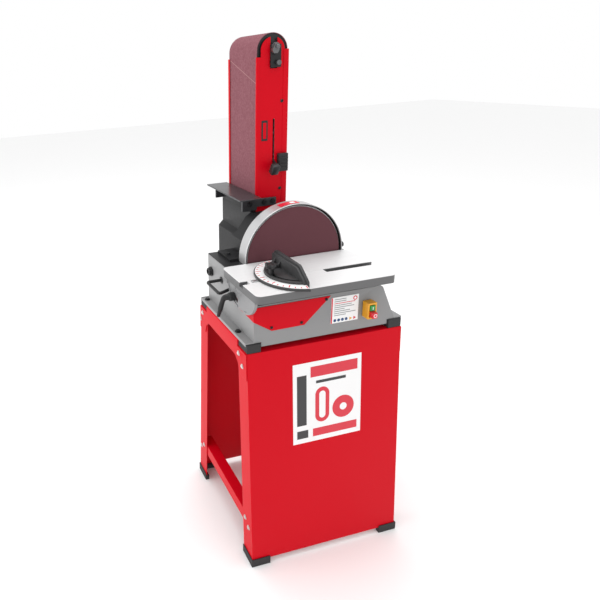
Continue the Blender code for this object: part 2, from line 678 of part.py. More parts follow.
def arm_core():
    """Platen behind the belt, and the folded spine between the side plates."""
    low, high = 0.7600, 1.1300
    y0, y1 = ARM_Y0 + ARM_SHEET + GAP, ARM_Y1 - ARM_SHEET - GAP
    face = -BELT_R + BELT_T + 0.0005
    box("platen", (face, BELT_Y0 + 0.002, 0.765), (face + 0.003, BELT_Y0 + BELT_W - 0.002, 1.128),
        bright_steel())
    left, right = face + 0.003 + GAP, 0.030
    spine = box("arm_spine", (left, y0, low), (right, y1, high), grey_paint())
    cut(spine, box("spine_hollow", (left - 0.01, y0 + SHEET, low - 0.01),
                   (right - SHEET, y1 - SHEET, high + 0.01), grey_paint()))
    join(spine, box("spine_seat", (left, y0 + SHEET / 2, 0.980),
                    (right - SHEET / 2, y1 - SHEET / 2, 0.984), grey_paint()))
    cut(spine, rod("seat_hole", 0.0045, "Z", (0, LEVER_Y), 0.97, 0.99, grey_paint(), 24))
    cut(spine, lever_slit("spine"))
    cut(spine, box("seat_notch", (LEVER_X - 0.0028, 0.120, 0.970), (LEVER_X + 0.0028, 0.1745, 0.990),
                   grey_paint()))
    box("arm_latch", (0.0140, ARM_Y0 - 0.0120, 0.886), (0.0400, ARM_Y0 - GAP, 0.932),
        black_plastic())


def sanding_belt():
    """Endless cloth belt round the drive drum and the idler drum."""
    low, high = ((0, SHAFT_Z), BELT_R), ((0, IDLER_Z), BELT_R)
    outer = belt_outline(low, high, 0, 28)
    inner = belt_outline(low, high, -BELT_T, 28)
    ring_prism("sanding_belt", outer, inner, "Y", BELT_Y0, BELT_Y0 + BELT_W, abrasive())


def idler():
    """Idler drum on its axle, the spring-loaded yoke that tensions it, and the tracking screw."""
    axis, bore, axle_r = (0, IDLER_Z), 0.0055, 0.005
    drum = sleeve("idler_drum", DRUM_R, bore, "Y", axis, BELT_Y0 + 0.003,
                  BELT_Y0 + BELT_W - 0.003, black_plastic(), 64)
    axle = rod("idler_axle", axle_r, "Y", axis, 0.112, 0.290, bright_steel(), 24)
    join(axle, rod("axle_head_front", 0.0095, "Y", axis, 0.1060, 0.1136, bright_steel(), 6))
    join(axle, rod("axle_head_back", 0.0095, "Y", axis, 0.2830, 0.2900, bright_steel(), 6))
    block = box("tracking_block", (-0.0080, 0.1140, 1.1420), (0.0190, ARM_Y0 - GAP, 1.1960),
                black_paint())
    cut(block, rod("tracking_block_bore", axle_r + GAP, "Y", axis, 0.110, 0.125, black_paint(), 24))
    soften(block, 0.0008)
    y0, y1, wall = 0.1246, 0.2734, 0.0018
    bridge_low, bridge_high, half = 1.1320, 1.1400, 0.0120
    yoke = box("idler_yoke", (-half, y0, bridge_low), (half, y1, IDLER_Z + half), bright_steel())
    cut(yoke, box("yoke_gap", (-half - 0.01, y0 + wall, bridge_high),
                  (half + 0.01, y1 - wall, 1.25), bright_steel()))
    cut(yoke, rod("yoke_bore", axle_r + GAP, "Y", axis, 0.12, 0.28, bright_steel(), 24))
    join(yoke, rod("yoke_rod", 0.004, "Z", (0, LEVER_Y), 0.9700, bridge_low + 0.002,
                   bright_steel(), 24))
    knob_x, knob_z, knob_y = 0.0085, 1.1530, 0.1137
    profile = [(0, knob_y), (0.0030, knob_y), (0.0030, knob_y - 0.003), (0.0060, knob_y - 0.004),
               (0.0060, knob_y - 0.009), (0, knob_y - 0.010)]
    knob = turned("tracking_knob", profile, "Y", (knob_x, knob_z), bright_steel(), 20)
    for piece in (drum, axle, yoke, block):
        pivot_at(piece, (0, BELT_Y0, IDLER_Z))
    pivot_at(knob, (knob_x, knob_y, knob_z))


def tension_spring():
    """Compression spring round the yoke's rod."""
    low, high, radius, wire, turns, steps = 0.9935, 1.1300, 0.0085, 0.0012, 9, 14
    count = turns * steps
    path = []
    for k in range(count + 1):
        turn = 2 * math.pi * k / steps
        path.append((radius * math.cos(turn), LEVER_Y + radius * math.sin(turn),
                     low + (high - low) * k / count))
    spring = tube("tension_spring", path, [wire] * len(path), bright_steel(), 6)
    pivot_at(spring, (0, LEVER_Y, low))


def tension_lever():
    """Lever with a hub inside the spine, a blade through the slit and a grip outside."""
    hub, half, blade, reach = 0.0080, 0.0015, 0.0045, 0.116
    grip_in, grip_out, grip_half = 0.1120, 0.1280, 0.0135
    along = Vector((0, math.cos(LEVER_ANGLE), math.sin(LEVER_ANGLE)))
    across = Vector((0, -along.z, along.y))
    centre = Vector((0, LEVER_Y, LEVER_Z))

    def slab(name, near, far, wide, x0, x1, paint):
        corners = [centre + along * r + across * s
                   for r, s in ((near, -wide), (far, -wide), (far, wide), (near, wide))]
        return prism(name, [(c.y, c.z) for c in corners], "X", x0, x1, paint)

    lever = rod("tension_lever", hub, "X", (LEVER_Y, LEVER_Z), LEVER_X - 0.009, LEVER_X + 0.009,
                black_plastic(), 24)
    join(lever, slab("lever_blade", 0, reach, blade, LEVER_X - half, LEVER_X + half,
                     black_plastic()))
    grip = slab("lever_grip", grip_in, grip_out, grip_half, LEVER_X - 0.0195, LEVER_X - 0.0005,
                black_plastic())
    join(lever, soften(grip, 0.002))
    pivot_at(lever, (LEVER_X, LEVER_Y, LEVER_Z))


def belt_table():
    """Steel work table across the belt with bracket bars bolted to both arm sides."""
    top, thick = BELT_TABLE_Z, 0.0035
    table = box("belt_table", (-0.1040, 0.0830, top - thick), (-0.0440, 0.2890, top),
                black_paint())
    bar = [(-0.0820, top - 0.002), (-0.0820, 0.7900), (-0.0420, 0.7900), (-0.0420, 0.7990),
           (0.0120, 0.7990), (0.0120, 0.8200), (-0.0440, 0.8200), (-0.0440, top - 0.002)]
    join(table, prism("bracket_front", bar, "Y", ARM_Y0 - GAP - 0.0054, ARM_Y0 - GAP,
                      black_paint()))
    join(table, prism("bracket_back", bar, "Y", ARM_Y1 + GAP, ARM_Y1 + GAP + 0.005,
                      black_paint()))


# ---- disc table ---------------------------------------------------------------------------------
def rounded_plan(x0, x1, y0, y1, radius):
    """Plan of a rectangle with rounded corners."""
    return (arc((x1 - radius, y0 + radius), radius, -90, 0, 5)
            + arc((x1 - radius, y1 - radius), radius, 0, 90, 5)
            + arc((x0 + radius, y1 - radius), radius, 90, 180, 5)
            + arc((x0 + radius, y0 + radius), radius, 180, 270, 5))


def disc_table():
    """Cast tilting table with a mitre slot, pockets below and a trunnion on its left end."""
    plan = rounded_plan(TABLE_X0, TABLE_X1, TABLE_Y0, TABLE_Y1, 0.012)
    table = prism("disc_table", plan, "Z", TABLE_Z0, TABLE_Z1, cast_aluminium())
    cut(table, box("table_slot", (TABLE_X0 - 0.01, SLOT_Y - SLOT_HALF, TABLE_Z1 - SLOT_DEPTH),
                   (TABLE_X1 + 0.01, SLOT_Y + SLOT_HALF, TABLE_Z1 + 0.01), cast_aluminium()))
    rim, roof = 0.006, 0.690
    for index, (y0, y1) in enumerate(((TABLE_Y0 + rim, -0.1045), (-0.0835, TABLE_Y1 - rim))):
        cut(table, box(f"table_pocket_{index}", (TABLE_X0 + 0.017, y0, TABLE_Z0 - 0.01),
                       (TABLE_X1 - rim, y1, roof), cast_aluminium()))
    cut(table, rod("table_bore", 0.0033, "X", (TILT_Y, TILT_Z), TABLE_X0 + 0.012, TABLE_X1 + 0.01,
                   cast_aluminium(), 20))
    pivot_at(table, (0, TILT_Y, TILT_Z))
    trunnion_r = 0.054
    chord = math.degrees(math.asin((TILT_Z - TABLE_Z0 + GAP) / trunnion_r))
    outline = (arc((TILT_Y - 0.026, TILT_Z), trunnion_r, 180 + chord, 270, 16)
               + arc((TILT_Y, TILT_Z), trunnion_r, 270, 360 - chord, 16))
    plate = prism("table_trunnion", outline, "X", -0.1850, -0.1790, grey_paint())
    clamp_r = math.hypot(CLAMP_Y - TILT_Y, CLAMP_Z - TILT_Z)
    heading = math.degrees(math.atan2(CLAMP_Z - TILT_Z, CLAMP_Y - TILT_Y))
    half = 0.0046
    low, high = heading - 25, heading + 8
    slot = (arc((TILT_Y, TILT_Z), clamp_r + half, low, high, 10)
            + arc((TILT_Y, TILT_Z), clamp_r - half, high, low, 10))
    cut(plate, prism("trunnion_slot", slot, "X", -0.19, -0.17, grey_paint()))
    pivot_at(plate, (-0.182, TILT_Y, TILT_Z))


def pivot_brackets():
    """Upright brackets on the casing whose pins the table tilts on."""
    foot = CASE_LOW_TOP + GAP
    head, waist = 0.0057, 0.0045
    outline = ([(TILT_Y - waist, foot), (TILT_Y + waist, foot)]
               + arc((TILT_Y, TILT_Z), head, -38, 218, 16))
    for name, x0, x1, pin0, pin1 in (
            ("pivot_bracket_left", -0.166, -0.160, TABLE_X0 + 0.0125, -0.163),
            ("pivot_bracket_right", 0.118, 0.124, 0.121, TABLE_X1 - 0.0005)):
        bracket = prism(name, outline, "X", x0, x1, grey_paint())
        join(bracket, rod(name + "_pin", 0.0030, "X", (TILT_Y, TILT_Z), pin0, pin1,
                          bright_steel(), 20))


def clamp_lever():
    """Tilt clamp: a stud through the trunnion's slot, a hub and a bent handle."""
    stud0, stud1, hub_end = CASE_LEFT - 0.0020, -0.1890, -0.2010
    profile = [(0, stud0), (0.0040, stud0), (0.0040, stud1 + 0.0035), (0.0090, stud1 + 0.003),
               (0.0090, hub_end), (0, hub_end - 0.002)]
    lever = turned("table_clamp_lever", profile, "X", (CLAMP_Y, CLAMP_Z), black_plastic(), 24)
    path = [(-0.1950, CLAMP_Y, CLAMP_Z), (-0.2050, CLAMP_Y + 0.002, CLAMP_Z),
            (-0.2105, CLAMP_Y + 0.004, CLAMP_Z - 0.004), (-0.2135, CLAMP_Y + 0.006, CLAMP_Z - 0.012),
            (-0.2190, CLAMP_Y + 0.013, CLAMP_Z - 0.046), (-0.2200, CLAMP_Y + 0.014, CLAMP_Z - 0.050)]
    join(lever, tube("clamp_handle", path, [0.0070, 0.0065, 0.0060, 0.0052, 0.0055, 0.0035],
                     black_plastic()))
    pivot_at(lever, (stud0, CLAMP_Y, CLAMP_Z))


# ---- mitre gauge --------------------------------------------------------------------------------
def mitre_gauge():
    """Slot bar, protractor head with its fence, and the lobed clamping knob."""
    bar_top = TABLE_Z1 - 0.0002
    bar = box("mitre_bar", (-0.1700, SLOT_Y - SLOT_HALF + GAP, TABLE_Z1 - SLOT_DEPTH + GAP),
              (0.0140, SLOT_Y + SLOT_HALF - GAP, bar_top), bright_steel())
    pivot_at(bar, (MITRE_X, SLOT_Y, bar_top))
    centre, low = (MITRE_X, SLOT_Y), TABLE_Z1 + GAP
    deck, step, step_r = 0.7040, 0.7090, 0.0645
    head = prism("mitre_head", arc(centre, MITRE_R, 101, 259, 32), "Z", low, deck, black_paint())
    join(head, prism("head_step", arc(centre, step_r, 101, 259, 24), "Z", low, step,
                     black_paint()))
    half, sweep = 0.0046, 53
    slot_r = MITRE_X - MITRE_KNOB_X
    slot = (arc(centre, slot_r + half, 180 - sweep, 180 + sweep, 20)
            + arc(centre, slot_r - half, 180 + sweep, 180 - sweep, 20))
    cut(head, prism("head_slot", slot, "Z", low - 0.01, step + 0.01, black_paint()))
    fence = [(-0.1620, low), (-0.1620, 0.7110), (-0.1310, 0.7365), (-0.0380, 0.7380),
             (-0.0290, 0.7330), (-0.0270, 0.7200), (-0.0270, low)]
    join(head, prism("head_fence", fence, "X", MITRE_X - 0.0200, MITRE_X - 0.0080, black_paint()))
    tongue = [(-0.0760, SLOT_Y - 0.0085), *arc(centre, 0.0085, -90, 90, 12), (-0.0760, SLOT_Y + 0.0085)]
    join(head, prism("head_tongue", tongue, "Z", low + 0.0002, deck - 0.0006, black_paint()))
    pivot_at(head, (MITRE_X, SLOT_Y, low))
    lobes, base, ripple = 5, 0.0120, 0.0018
    rim = []
    for k in range(40):
        turn = 2 * math.pi * k / 40
        radius = base + ripple * math.cos(lobes * turn)
        rim.append((MITRE_KNOB_X + radius * math.cos(turn), SLOT_Y + radius * math.sin(turn)))
    knob = prism("mitre_knob", rim, "Z", 0.7230, 0.7330, black_plastic(), smooth=True)
    stem = [(0, bar_top + GAP), (0.0040, bar_top + GAP), (0.0040, step + GAP),
            (0.0075, step + GAP), (0.0065, 0.7240), (0, 0.7240)]
    join(knob, turned("knob_stem", stem, "Z", (MITRE_KNOB_X, SLOT_Y), black_plastic(), 24))
    pivot_at(knob, (MITRE_KNOB_X, SLOT_Y, bar_top))


for old in list(bpy.data.objects):
    bpy.data.objects.remove(old, do_unlink=True)

stand_panels()
stand_rails()
stand_stretchers()
stand_feet()
corner_pads()
lower_casing = casing()
top_plate()
red_cover()
rating_plate()
switch()
carry_handle()
cable_gland()
motor(lower_casing)
drive_belt()
spindle()
drum_housing()
drum_hood()
disc_guard()
arm_sides()
arm_core()
sanding_belt()
idler()
tension_spring()
tension_lever()
belt_table()
disc_table()
pivot_brackets()
clamp_lever()
mitre_gauge()
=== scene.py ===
import json
import math

import bmesh
import bpy
import numpy as np
from mathutils import Matrix


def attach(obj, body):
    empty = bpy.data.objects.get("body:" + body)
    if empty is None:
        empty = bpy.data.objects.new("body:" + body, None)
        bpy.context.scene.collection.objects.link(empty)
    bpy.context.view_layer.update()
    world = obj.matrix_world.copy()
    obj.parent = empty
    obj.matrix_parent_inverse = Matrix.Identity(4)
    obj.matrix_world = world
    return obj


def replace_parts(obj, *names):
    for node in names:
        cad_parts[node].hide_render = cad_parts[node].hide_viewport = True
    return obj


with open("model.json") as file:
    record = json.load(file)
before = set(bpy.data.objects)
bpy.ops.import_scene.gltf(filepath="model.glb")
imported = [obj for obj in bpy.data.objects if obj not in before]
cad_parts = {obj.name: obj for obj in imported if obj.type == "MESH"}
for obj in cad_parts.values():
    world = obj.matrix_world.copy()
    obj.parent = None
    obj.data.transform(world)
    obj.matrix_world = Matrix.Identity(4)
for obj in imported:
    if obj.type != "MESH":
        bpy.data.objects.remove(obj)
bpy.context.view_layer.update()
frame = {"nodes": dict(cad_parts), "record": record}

# ---- Studio ----------------------------------------------------------------------------------
# A pale floor, a large soft light on the left, a weak one in front and one above, and the camera
# that looks down on the machine from its front left corner.
floor_mesh = bpy.data.meshes.new("floor")
floor_mesh.from_pydata([(-9, -9, 0), (9, -9, 0), (9, 9, 0), (-9, 9, 0)], [], [(0, 1, 2, 3)])
floor = bpy.data.objects.new("floor", floor_mesh)
bpy.context.scene.collection.objects.link(floor)
floor_paint = bpy.data.materials.new("pale_floor")
floor_paint.use_nodes = True
floor_paint.node_tree.nodes["Principled BSDF"].inputs["Base Color"].default_value = (0.93, 0.93, 0.93, 1)
floor_paint.node_tree.nodes["Principled BSDF"].inputs["Roughness"].default_value = 0.9
floor_mesh.materials.append(floor_paint)

world = bpy.data.worlds.new("studio")
world.use_nodes = True
world.node_tree.nodes["Background"].inputs["Color"].default_value = (1.0, 1.0, 1.0, 1)
world.node_tree.nodes["Background"].inputs["Strength"].default_value = 1.0
bpy.context.scene.world = world
bpy.context.scene.view_settings.view_transform = "Standard"

machine_middle = np.array((0.0, 0.0, 0.65))
for lamp_name, place, size, power in (("key", (-3.0, 0.2, 1.6), 2.2, 33),
                                      ("front", (0.9, -3.2, 1.5), 2.4, 4),
                                      ("top", (0.2, 0.4, 3.4), 2.6, 40)):
    lamp = bpy.data.lights.new(lamp_name, "AREA")
    lamp.size = size
    lamp.energy = power
    holder = bpy.data.objects.new(lamp_name, lamp)
    towards = np.array(place) - machine_middle
    back = towards / np.linalg.norm(towards)
    side = np.cross((0.0, 1.0, 0.0) if abs(back[1]) < 0.9 else (1.0, 0.0, 0.0), back)
    side /= np.linalg.norm(side)
    aim = np.column_stack([side, np.cross(back, side), back])
    holder.matrix_world = Matrix(np.vstack([np.column_stack([aim, place]), (0, 0, 0, 1)]).tolist())
    bpy.context.scene.collection.objects.link(holder)

yaw, pitch, roll = np.radians([-11.61, 14.52, -3.79])
stand_off = np.array((-0.659, -1.050, 1.167))
eye_back = np.array((math.sin(yaw) * math.cos(pitch), -math.cos(yaw) * math.cos(pitch), math.sin(pitch)))
level = np.array((math.cos(yaw), math.sin(yaw), 0.0))
upward = np.cross(level, -eye_back)
right = math.cos(roll) * level + math.sin(roll) * upward
above = -math.sin(roll) * level + math.cos(roll) * upward
lens_data = bpy.data.cameras.new("camera")
lens_data.sensor_width = 36
lens_data.lens = 30.96462
lens_data.shift_x = 0.31468
lens_data.shift_y = -0.1644217
camera = bpy.data.objects.new("camera", lens_data)
pose = np.column_stack([right, above, eye_back, stand_off])
camera.matrix_world = Matrix(np.vstack([pose, (0, 0, 0, 1)]).tolist())
bpy.context.scene.collection.objects.link(camera)
bpy.context.scene.camera = camera

# ---- Stand panels, rails and stretchers --------------------------------------------------------
# Folded steel sheet, powder-coated a glossy red. The front and back sheets lean outwards and fold
# back into side legs; rails and angle irons are bolted across them.
node_body = {node: body for body, nodes in frame["record"]["behaviour"]["bodies"].items()
             for node in nodes}


def build_grain_group():
    """Two sizes of noise: the coarse one mottles colour and roughness, the fine one is the height."""
    group = bpy.data.node_groups.new("surface_grain", "ShaderNodeTree")
    for name, kind, default in (("Colour", "NodeSocketColor", (0.5, 0.5, 0.5, 1)),
                                ("Tint", "NodeSocketColor", (0.4, 0.4, 0.4, 1)),
                                ("Mottle", "NodeSocketFloat", 0.3),
                                ("Scale", "NodeSocketFloat", 900.0),
                                ("Patch", "NodeSocketFloat", 12.0),
                                ("Stretch", "NodeSocketVector", (1, 1, 1)),
                                ("Roughness", "NodeSocketFloat", 0.4),
                                ("Spread", "NodeSocketFloat", 0.1)):
        socket = group.interface.new_socket(name=name, in_out="INPUT", socket_type=kind)
        socket.default_value = default
    for name, kind in (("Colour", "NodeSocketColor"), ("Roughness", "NodeSocketFloat"),
                       ("Height", "NodeSocketFloat")):
        group.interface.new_socket(name=name, in_out="OUTPUT", socket_type=kind)
    nodes, links = group.nodes, group.links
    given, result = nodes.new("NodeGroupInput"), nodes.new("NodeGroupOutput")
    place = nodes.new("ShaderNodeTexCoord")
    stretch = nodes.new("ShaderNodeVectorMath")
    stretch.operation = "MULTIPLY"
    links.new(place.outputs["Object"], stretch.inputs[0])
    links.new(given.outputs["Stretch"], stretch.inputs[1])
    fine, coarse = nodes.new("ShaderNodeTexNoise"), nodes.new("ShaderNodeTexNoise")
    for noise, key, detail in ((fine, "Scale", 2.0), (coarse, "Patch", 3.0)):
        links.new(stretch.outputs[0], noise.inputs["Vector"])
        links.new(given.outputs[key], noise.inputs["Scale"])
        noise.inputs["Detail"].default_value = detail
    both = nodes.new("ShaderNodeMath")
    both.operation = "MULTIPLY"
    both.use_clamp = True
    links.new(fine.outputs["Fac"], both.inputs[0])
    links.new(coarse.outputs["Fac"], both.inputs[1])
    share = nodes.new("ShaderNodeMath")
    share.operation = "MULTIPLY"
    share.use_clamp = True
    links.new(both.outputs[0], share.inputs[0])
    links.new(given.outputs["Mottle"], share.inputs[1])
    blend = nodes.new("ShaderNodeMix")
    blend.data_type = "RGBA"
    links.new(share.outputs[0], blend.inputs["Factor"])
    links.new(given.outputs["Colour"], blend.inputs[6])
    links.new(given.outputs["Tint"], blend.inputs[7])
    links.new(blend.outputs[2], result.inputs["Colour"])
    rough = nodes.new("ShaderNodeMath")
    rough.operation = "MULTIPLY_ADD"
    links.new(coarse.outputs["Fac"], rough.inputs[0])
    links.new(given.outputs["Spread"], rough.inputs[1])
    links.new(given.outputs["Roughness"], rough.inputs[2])
    links.new(rough.outputs[0], result.inputs["Roughness"])
    links.new(fine.outputs["Fac"], result.inputs["Height"])
    return group


grain = build_grain_group()


def finish(name, colour, tint, roughness, metallic=0.0, mottle=0.5, scale=900.0, patch=12.0,
           stretch=(1, 1, 1), spread=0.1, bump=0.1, depth=0.0002, coat=0.0, gloss=0.5):
    """A Principled material whose colour, roughness and bump come from the grain group."""
    made = bpy.data.materials.new(name)
    made.use_nodes = True
    nodes, links = made.node_tree.nodes, made.node_tree.links
    shader = nodes["Principled BSDF"]
    skin = nodes.new("ShaderNodeGroup")
    skin.node_tree = grain
    for key, value in (("Colour", (*colour, 1)), ("Tint", (*tint, 1)), ("Mottle", mottle),
                       ("Scale", scale), ("Patch", patch), ("Stretch", stretch),
                       ("Roughness", roughness), ("Spread", spread)):
        skin.inputs[key].default_value = value
    relief = nodes.new("ShaderNodeBump")
    relief.inputs["Strength"].default_value = bump
    relief.inputs["Distance"].default_value = depth
    links.new(skin.outputs["Colour"], shader.inputs["Base Color"])
    links.new(skin.outputs["Roughness"], shader.inputs["Roughness"])
    links.new(skin.outputs["Height"], relief.inputs["Height"])
    links.new(relief.outputs["Normal"], shader.inputs["Normal"])
    shader.inputs["Metallic"].default_value = metallic
    shader.inputs["Coat Weight"].default_value = coat
    shader.inputs["Specular IOR Level"].default_value = gloss
    shader.inputs["Coat Roughness"].default_value = 0.15
    return made


def paint(finish_made, *nodes):
    """Gives CAD nodes a finish."""
    for node in nodes:
        for holder in frame["nodes"][node].material_slots:
            holder.material = finish_made


def keep(piece, body, made):
    """Gives a new piece its finish and its body, and hands it back."""
    piece.data.materials.append(made)
    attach(piece, body)
    return piece


def dressed(node, edge, made, segments=2):
    """A copy of a CAD node with its loose triangles merged and its edges rounded; it replaces the node."""
    source = frame["nodes"][node]
    sharp = math.radians(30)
    shape = bmesh.new()
    shape.from_mesh(source.data)
    bmesh.ops.remove_doubles(shape, verts=shape.verts, dist=1e-6)
    bmesh.ops.dissolve_limit(shape, angle_limit=math.radians(0.8), verts=shape.verts, edges=shape.edges)
    bmesh.ops.recalc_face_normals(shape, faces=shape.faces)
    mesh = bpy.data.meshes.new(node + "_skin")
    shape.to_mesh(mesh)
    shape.free()
    mesh.materials.append(made)
    piece = bpy.data.objects.new(node + "_skin", mesh)
    bpy.context.scene.collection.objects.link(piece)
    round_off = piece.modifiers.new("edges", "BEVEL")
    round_off.width = edge
    round_off.segments = segments
    round_off.limit_method = "ANGLE"
    round_off.angle_limit = sharp
    round_off.harden_normals = True
    mesh.shade_smooth()
    mesh.set_sharp_from_angle(angle=sharp)
    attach(piece, node_body[node])
    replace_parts(piece, node)
    return piece


red_coat = finish("red_powder_coat", (0.60, 0.0008, 0.010), (0.54, 0.0004, 0.008), 0.34, mottle=0.7,
                  scale=700, patch=5, bump=0.10, gloss=0.10)
for node in ("stand_front_panel", "stand_back_panel", "stand_rail_left", "stand_rail_right",
             "stand_stretcher_left", "stand_stretcher_right"):
    dressed(node, 0.0009, red_coat)

# ---- Stand bolts -------------------------------------------------------------------------------
# Zinc-plated hexagon bolts on washers, in two rows on each side: the upper row holds the rail to
# the legs, the lower row the stretcher.
zinc = finish("zinc_plate", (0.72, 0.73, 0.72), (0.50, 0.53, 0.50), 0.28, 1.0, mottle=0.8, scale=1400,
              patch=160, bump=0.15)


def new_mesh(name, points, faces, angle):
    """An object from a point array and face lists, smooth but for edges sharper than the angle."""
    mesh = bpy.data.meshes.new(name)
    mesh.from_pydata(np.asarray(points, float).reshape(-1, 3).tolist(), [], faces)
    shape = bmesh.new()
    shape.from_mesh(mesh)
    bmesh.ops.remove_doubles(shape, verts=shape.verts, dist=1e-7)
    bmesh.ops.recalc_face_normals(shape, faces=shape.faces)
    shape.to_mesh(mesh)
    shape.free()
    mesh.shade_smooth()
    mesh.set_sharp_from_angle(angle=math.radians(angle))
    made = bpy.data.objects.new(name, mesh)
    bpy.context.scene.collection.objects.link(made)
    return made


def skinned(name, grid, angle=35):
    """Rows of closed rings: each ring joins the next by quads, and flat caps close the two ends."""
    rows, cols = grid.shape[:2]
    index = np.arange(rows * cols).reshape(rows, cols)
    here, onward = index[:-1], index[1:]
    quads = np.stack([here, np.roll(here, -1, axis=1), np.roll(onward, -1, axis=1), onward], axis=-1)
    faces = quads.reshape(-1, 4).tolist() + [index[0].tolist(), index[-1].tolist()]
    return new_mesh(name, grid, faces, angle)


def basis(axis):
    """Two unit vectors across an axis, and the axis."""
    ahead = np.array(axis, float) / np.linalg.norm(axis)
    spare = np.array((0.0, 0.0, 1.0)) if abs(ahead[2]) < 0.9 else np.array((1.0, 0.0, 0.0))
    across = np.cross(spare, ahead)
    across /= np.linalg.norm(across)
    return across, np.cross(ahead, across), ahead


def turned(name, profile, centre, axis, sides=40, ripple=None):
    """Ring k of the profile (radius, height) is centre + height * axis + radius * (cos t, sin t);
    ripple(t, row) scales the radius, which makes hexagons and lobes."""
    across, over, ahead = basis(axis)
    turn = np.arange(sides) * 2 * math.pi / sides
    rings = []
    for row, (radius, height) in enumerate(profile):
        reach = radius * (ripple(turn, row) if ripple else np.ones(sides))
        rings.append(np.array(centre) + height * ahead + reach[:, None]
                     * (np.cos(turn)[:, None] * across + np.sin(turn)[:, None] * over))
    return skinned(name, np.array(rings), angle=30)


def hexagon(rows):
    """The radius factor of a hexagon, 1 at its corners, on the given profile rows."""
    def factor(turn, row):
        if row not in rows:
            return np.ones_like(turn)
        return math.cos(math.pi / 6) / np.cos(np.mod(turn, math.pi / 3) - math.pi / 6)
    return factor


def hex_bolt(name, centre, axis, radius, made, body, height=None):
    """A washer with a chamfered hexagon head on it."""
    tall = height or radius * 0.75
    washer, thin = radius * 1.35, radius * 0.18
    profile = [(washer, 0), (washer, thin), (radius, thin), (radius, tall), (radius * 0.86, tall * 1.12),
               (radius * 0.3, tall * 1.12)]
    return keep(turned(name, profile, centre, axis, 36, hexagon((2, 3))), body, made)


stand_half_depth, stand_top, sheet_foot, splay = 0.1305, 0.546, 0.014, 0.031


def panel_face(z):
    """Distance of a stand panel's outer face from the middle at height z."""
    return stand_half_depth + splay * (stand_top - z) / (stand_top - sheet_foot)


rail_face, leg_face = 0.1951, 0.1928
rail_bolts = ((-0.095, 0.531), (-0.113, 0.508), (0.113, 0.531), (0.127, 0.508))
stretcher_bolts = ((-0.124, 0.108), (-0.141, 0.094), (0.147, 0.094), (0.129, 0.110))
bolt_r, bolt_tall = 0.0042, 0.0024
for side, label in ((-1, "left"), (1, "right")):
    for row, face, places in (("rail", rail_face, rail_bolts), ("stretcher", leg_face, stretcher_bolts)):
        for k, (y, z) in enumerate(places):
            hex_bolt(f"{row}_bolt_{label}_{k}", (side * face, y, z), (side, 0, 0), bolt_r, zinc, "base",
                     bolt_tall)

# ---- Front label -------------------------------------------------------------------------------
# A printed film stuck to the leaning front panel: a white sheet with a plain sign for a belt and a
# disc, between red head and foot bars and a dark side bar.
white_film = finish("white_film", (0.86, 0.86, 0.86), (0.78, 0.78, 0.78), 0.35, mottle=0.4, scale=300,
                    bump=0.02, coat=0.3)
red_print = finish("red_print", (0.66, 0.006, 0.03), (0.56, 0.004, 0.02), 0.35, mottle=0.5, scale=500,
                   bump=0.02, coat=0.3)
dark_print = finish("dark_print", (0.035, 0.035, 0.038), (0.02, 0.02, 0.02), 0.4, mottle=0.5, scale=500,
                    bump=0.02)


def film(name, outline, lift, thick, made, body, surface):
    """A thin printed shape: its (u, v) outline laid on surface(u, v, height) and given a thickness."""
    flat = np.array(outline, float)
    grid = np.stack([surface(flat[:, 0], flat[:, 1], height) for height in (lift, lift + thick)])
    return keep(skinned(name, grid), body, made)


def on_front_panel(x, z, height):
    """Points on the leaning front panel, raised off it by a height."""
    return np.column_stack([x, -(panel_face(z) + height), z])


def bar(u0, u1, v0, v1):
    """Corners of a rectangle."""
    return [(u0, v0), (u1, v0), (u1, v1), (u0, v1)]


def disc(u, v, radius, count=32):
    """Points round a circle."""
    turn = np.arange(count) * 2 * math.pi / count
    return np.column_stack([u + radius * np.cos(turn), v + radius * np.sin(turn)])


def loop_outline(low, high, radius):
    """A stadium: a half circle round the high centre and one round the low centre."""
    middle, count, half = -0.010, 33, 17
    return np.concatenate([disc(middle, low, radius, count)[half:], disc(middle, high, radius, count)[:half]])


print_lift, eye_lift, ink = 0.0005, 0.0007, 0.0001
ring_middle = (0.044, 0.374)
film("label_sheet", bar(-0.084, 0.090, 0.300, 0.500), 0.0001, 0.0003, white_film, "base", on_front_panel)
for part, shape, lift, made in (
        ("side_bar", bar(-0.074, -0.050, 0.345, 0.470), print_lift, dark_print),
        ("head_bar", bar(-0.040, 0.080, 0.462, 0.488), print_lift, red_print),
        ("head_line", bar(-0.026, 0.050, 0.445, 0.452), print_lift, dark_print),
        ("foot_bar", bar(-0.034, 0.080, 0.312, 0.332), print_lift, red_print),
        ("foot_square", bar(-0.074, -0.046, 0.312, 0.332), print_lift, dark_print),
        ("disc", disc(*ring_middle, 0.028), print_lift, red_print),
        ("disc_eye", disc(*ring_middle, 0.009), eye_lift, white_film),
        ("belt", loop_outline(0.364, 0.416, 0.018), print_lift, red_print),
        ("belt_eye", loop_outline(0.364, 0.416, 0.008), eye_lift, white_film)):
    film("label_" + part, shape, lift, ink, made, "base", on_front_panel)

# ---- Rubber feet and pads ----------------------------------------------------------------------
# Moulded black rubber: shoes under the stand's corners, and blocks on its top corners that carry
# the machine.
rubber = finish("black_rubber_skin", (0.017, 0.017, 0.018), (0.035, 0.035, 0.036), 0.62, mottle=1.0,
                scale=1300, patch=40, spread=0.2, bump=0.35)
for corner in ("front_left", "front_right", "back_left", "back_right"):
    dressed("foot_" + corner, 0.0012, rubber)
    dressed("pad_" + corner, 0.0022, rubber)

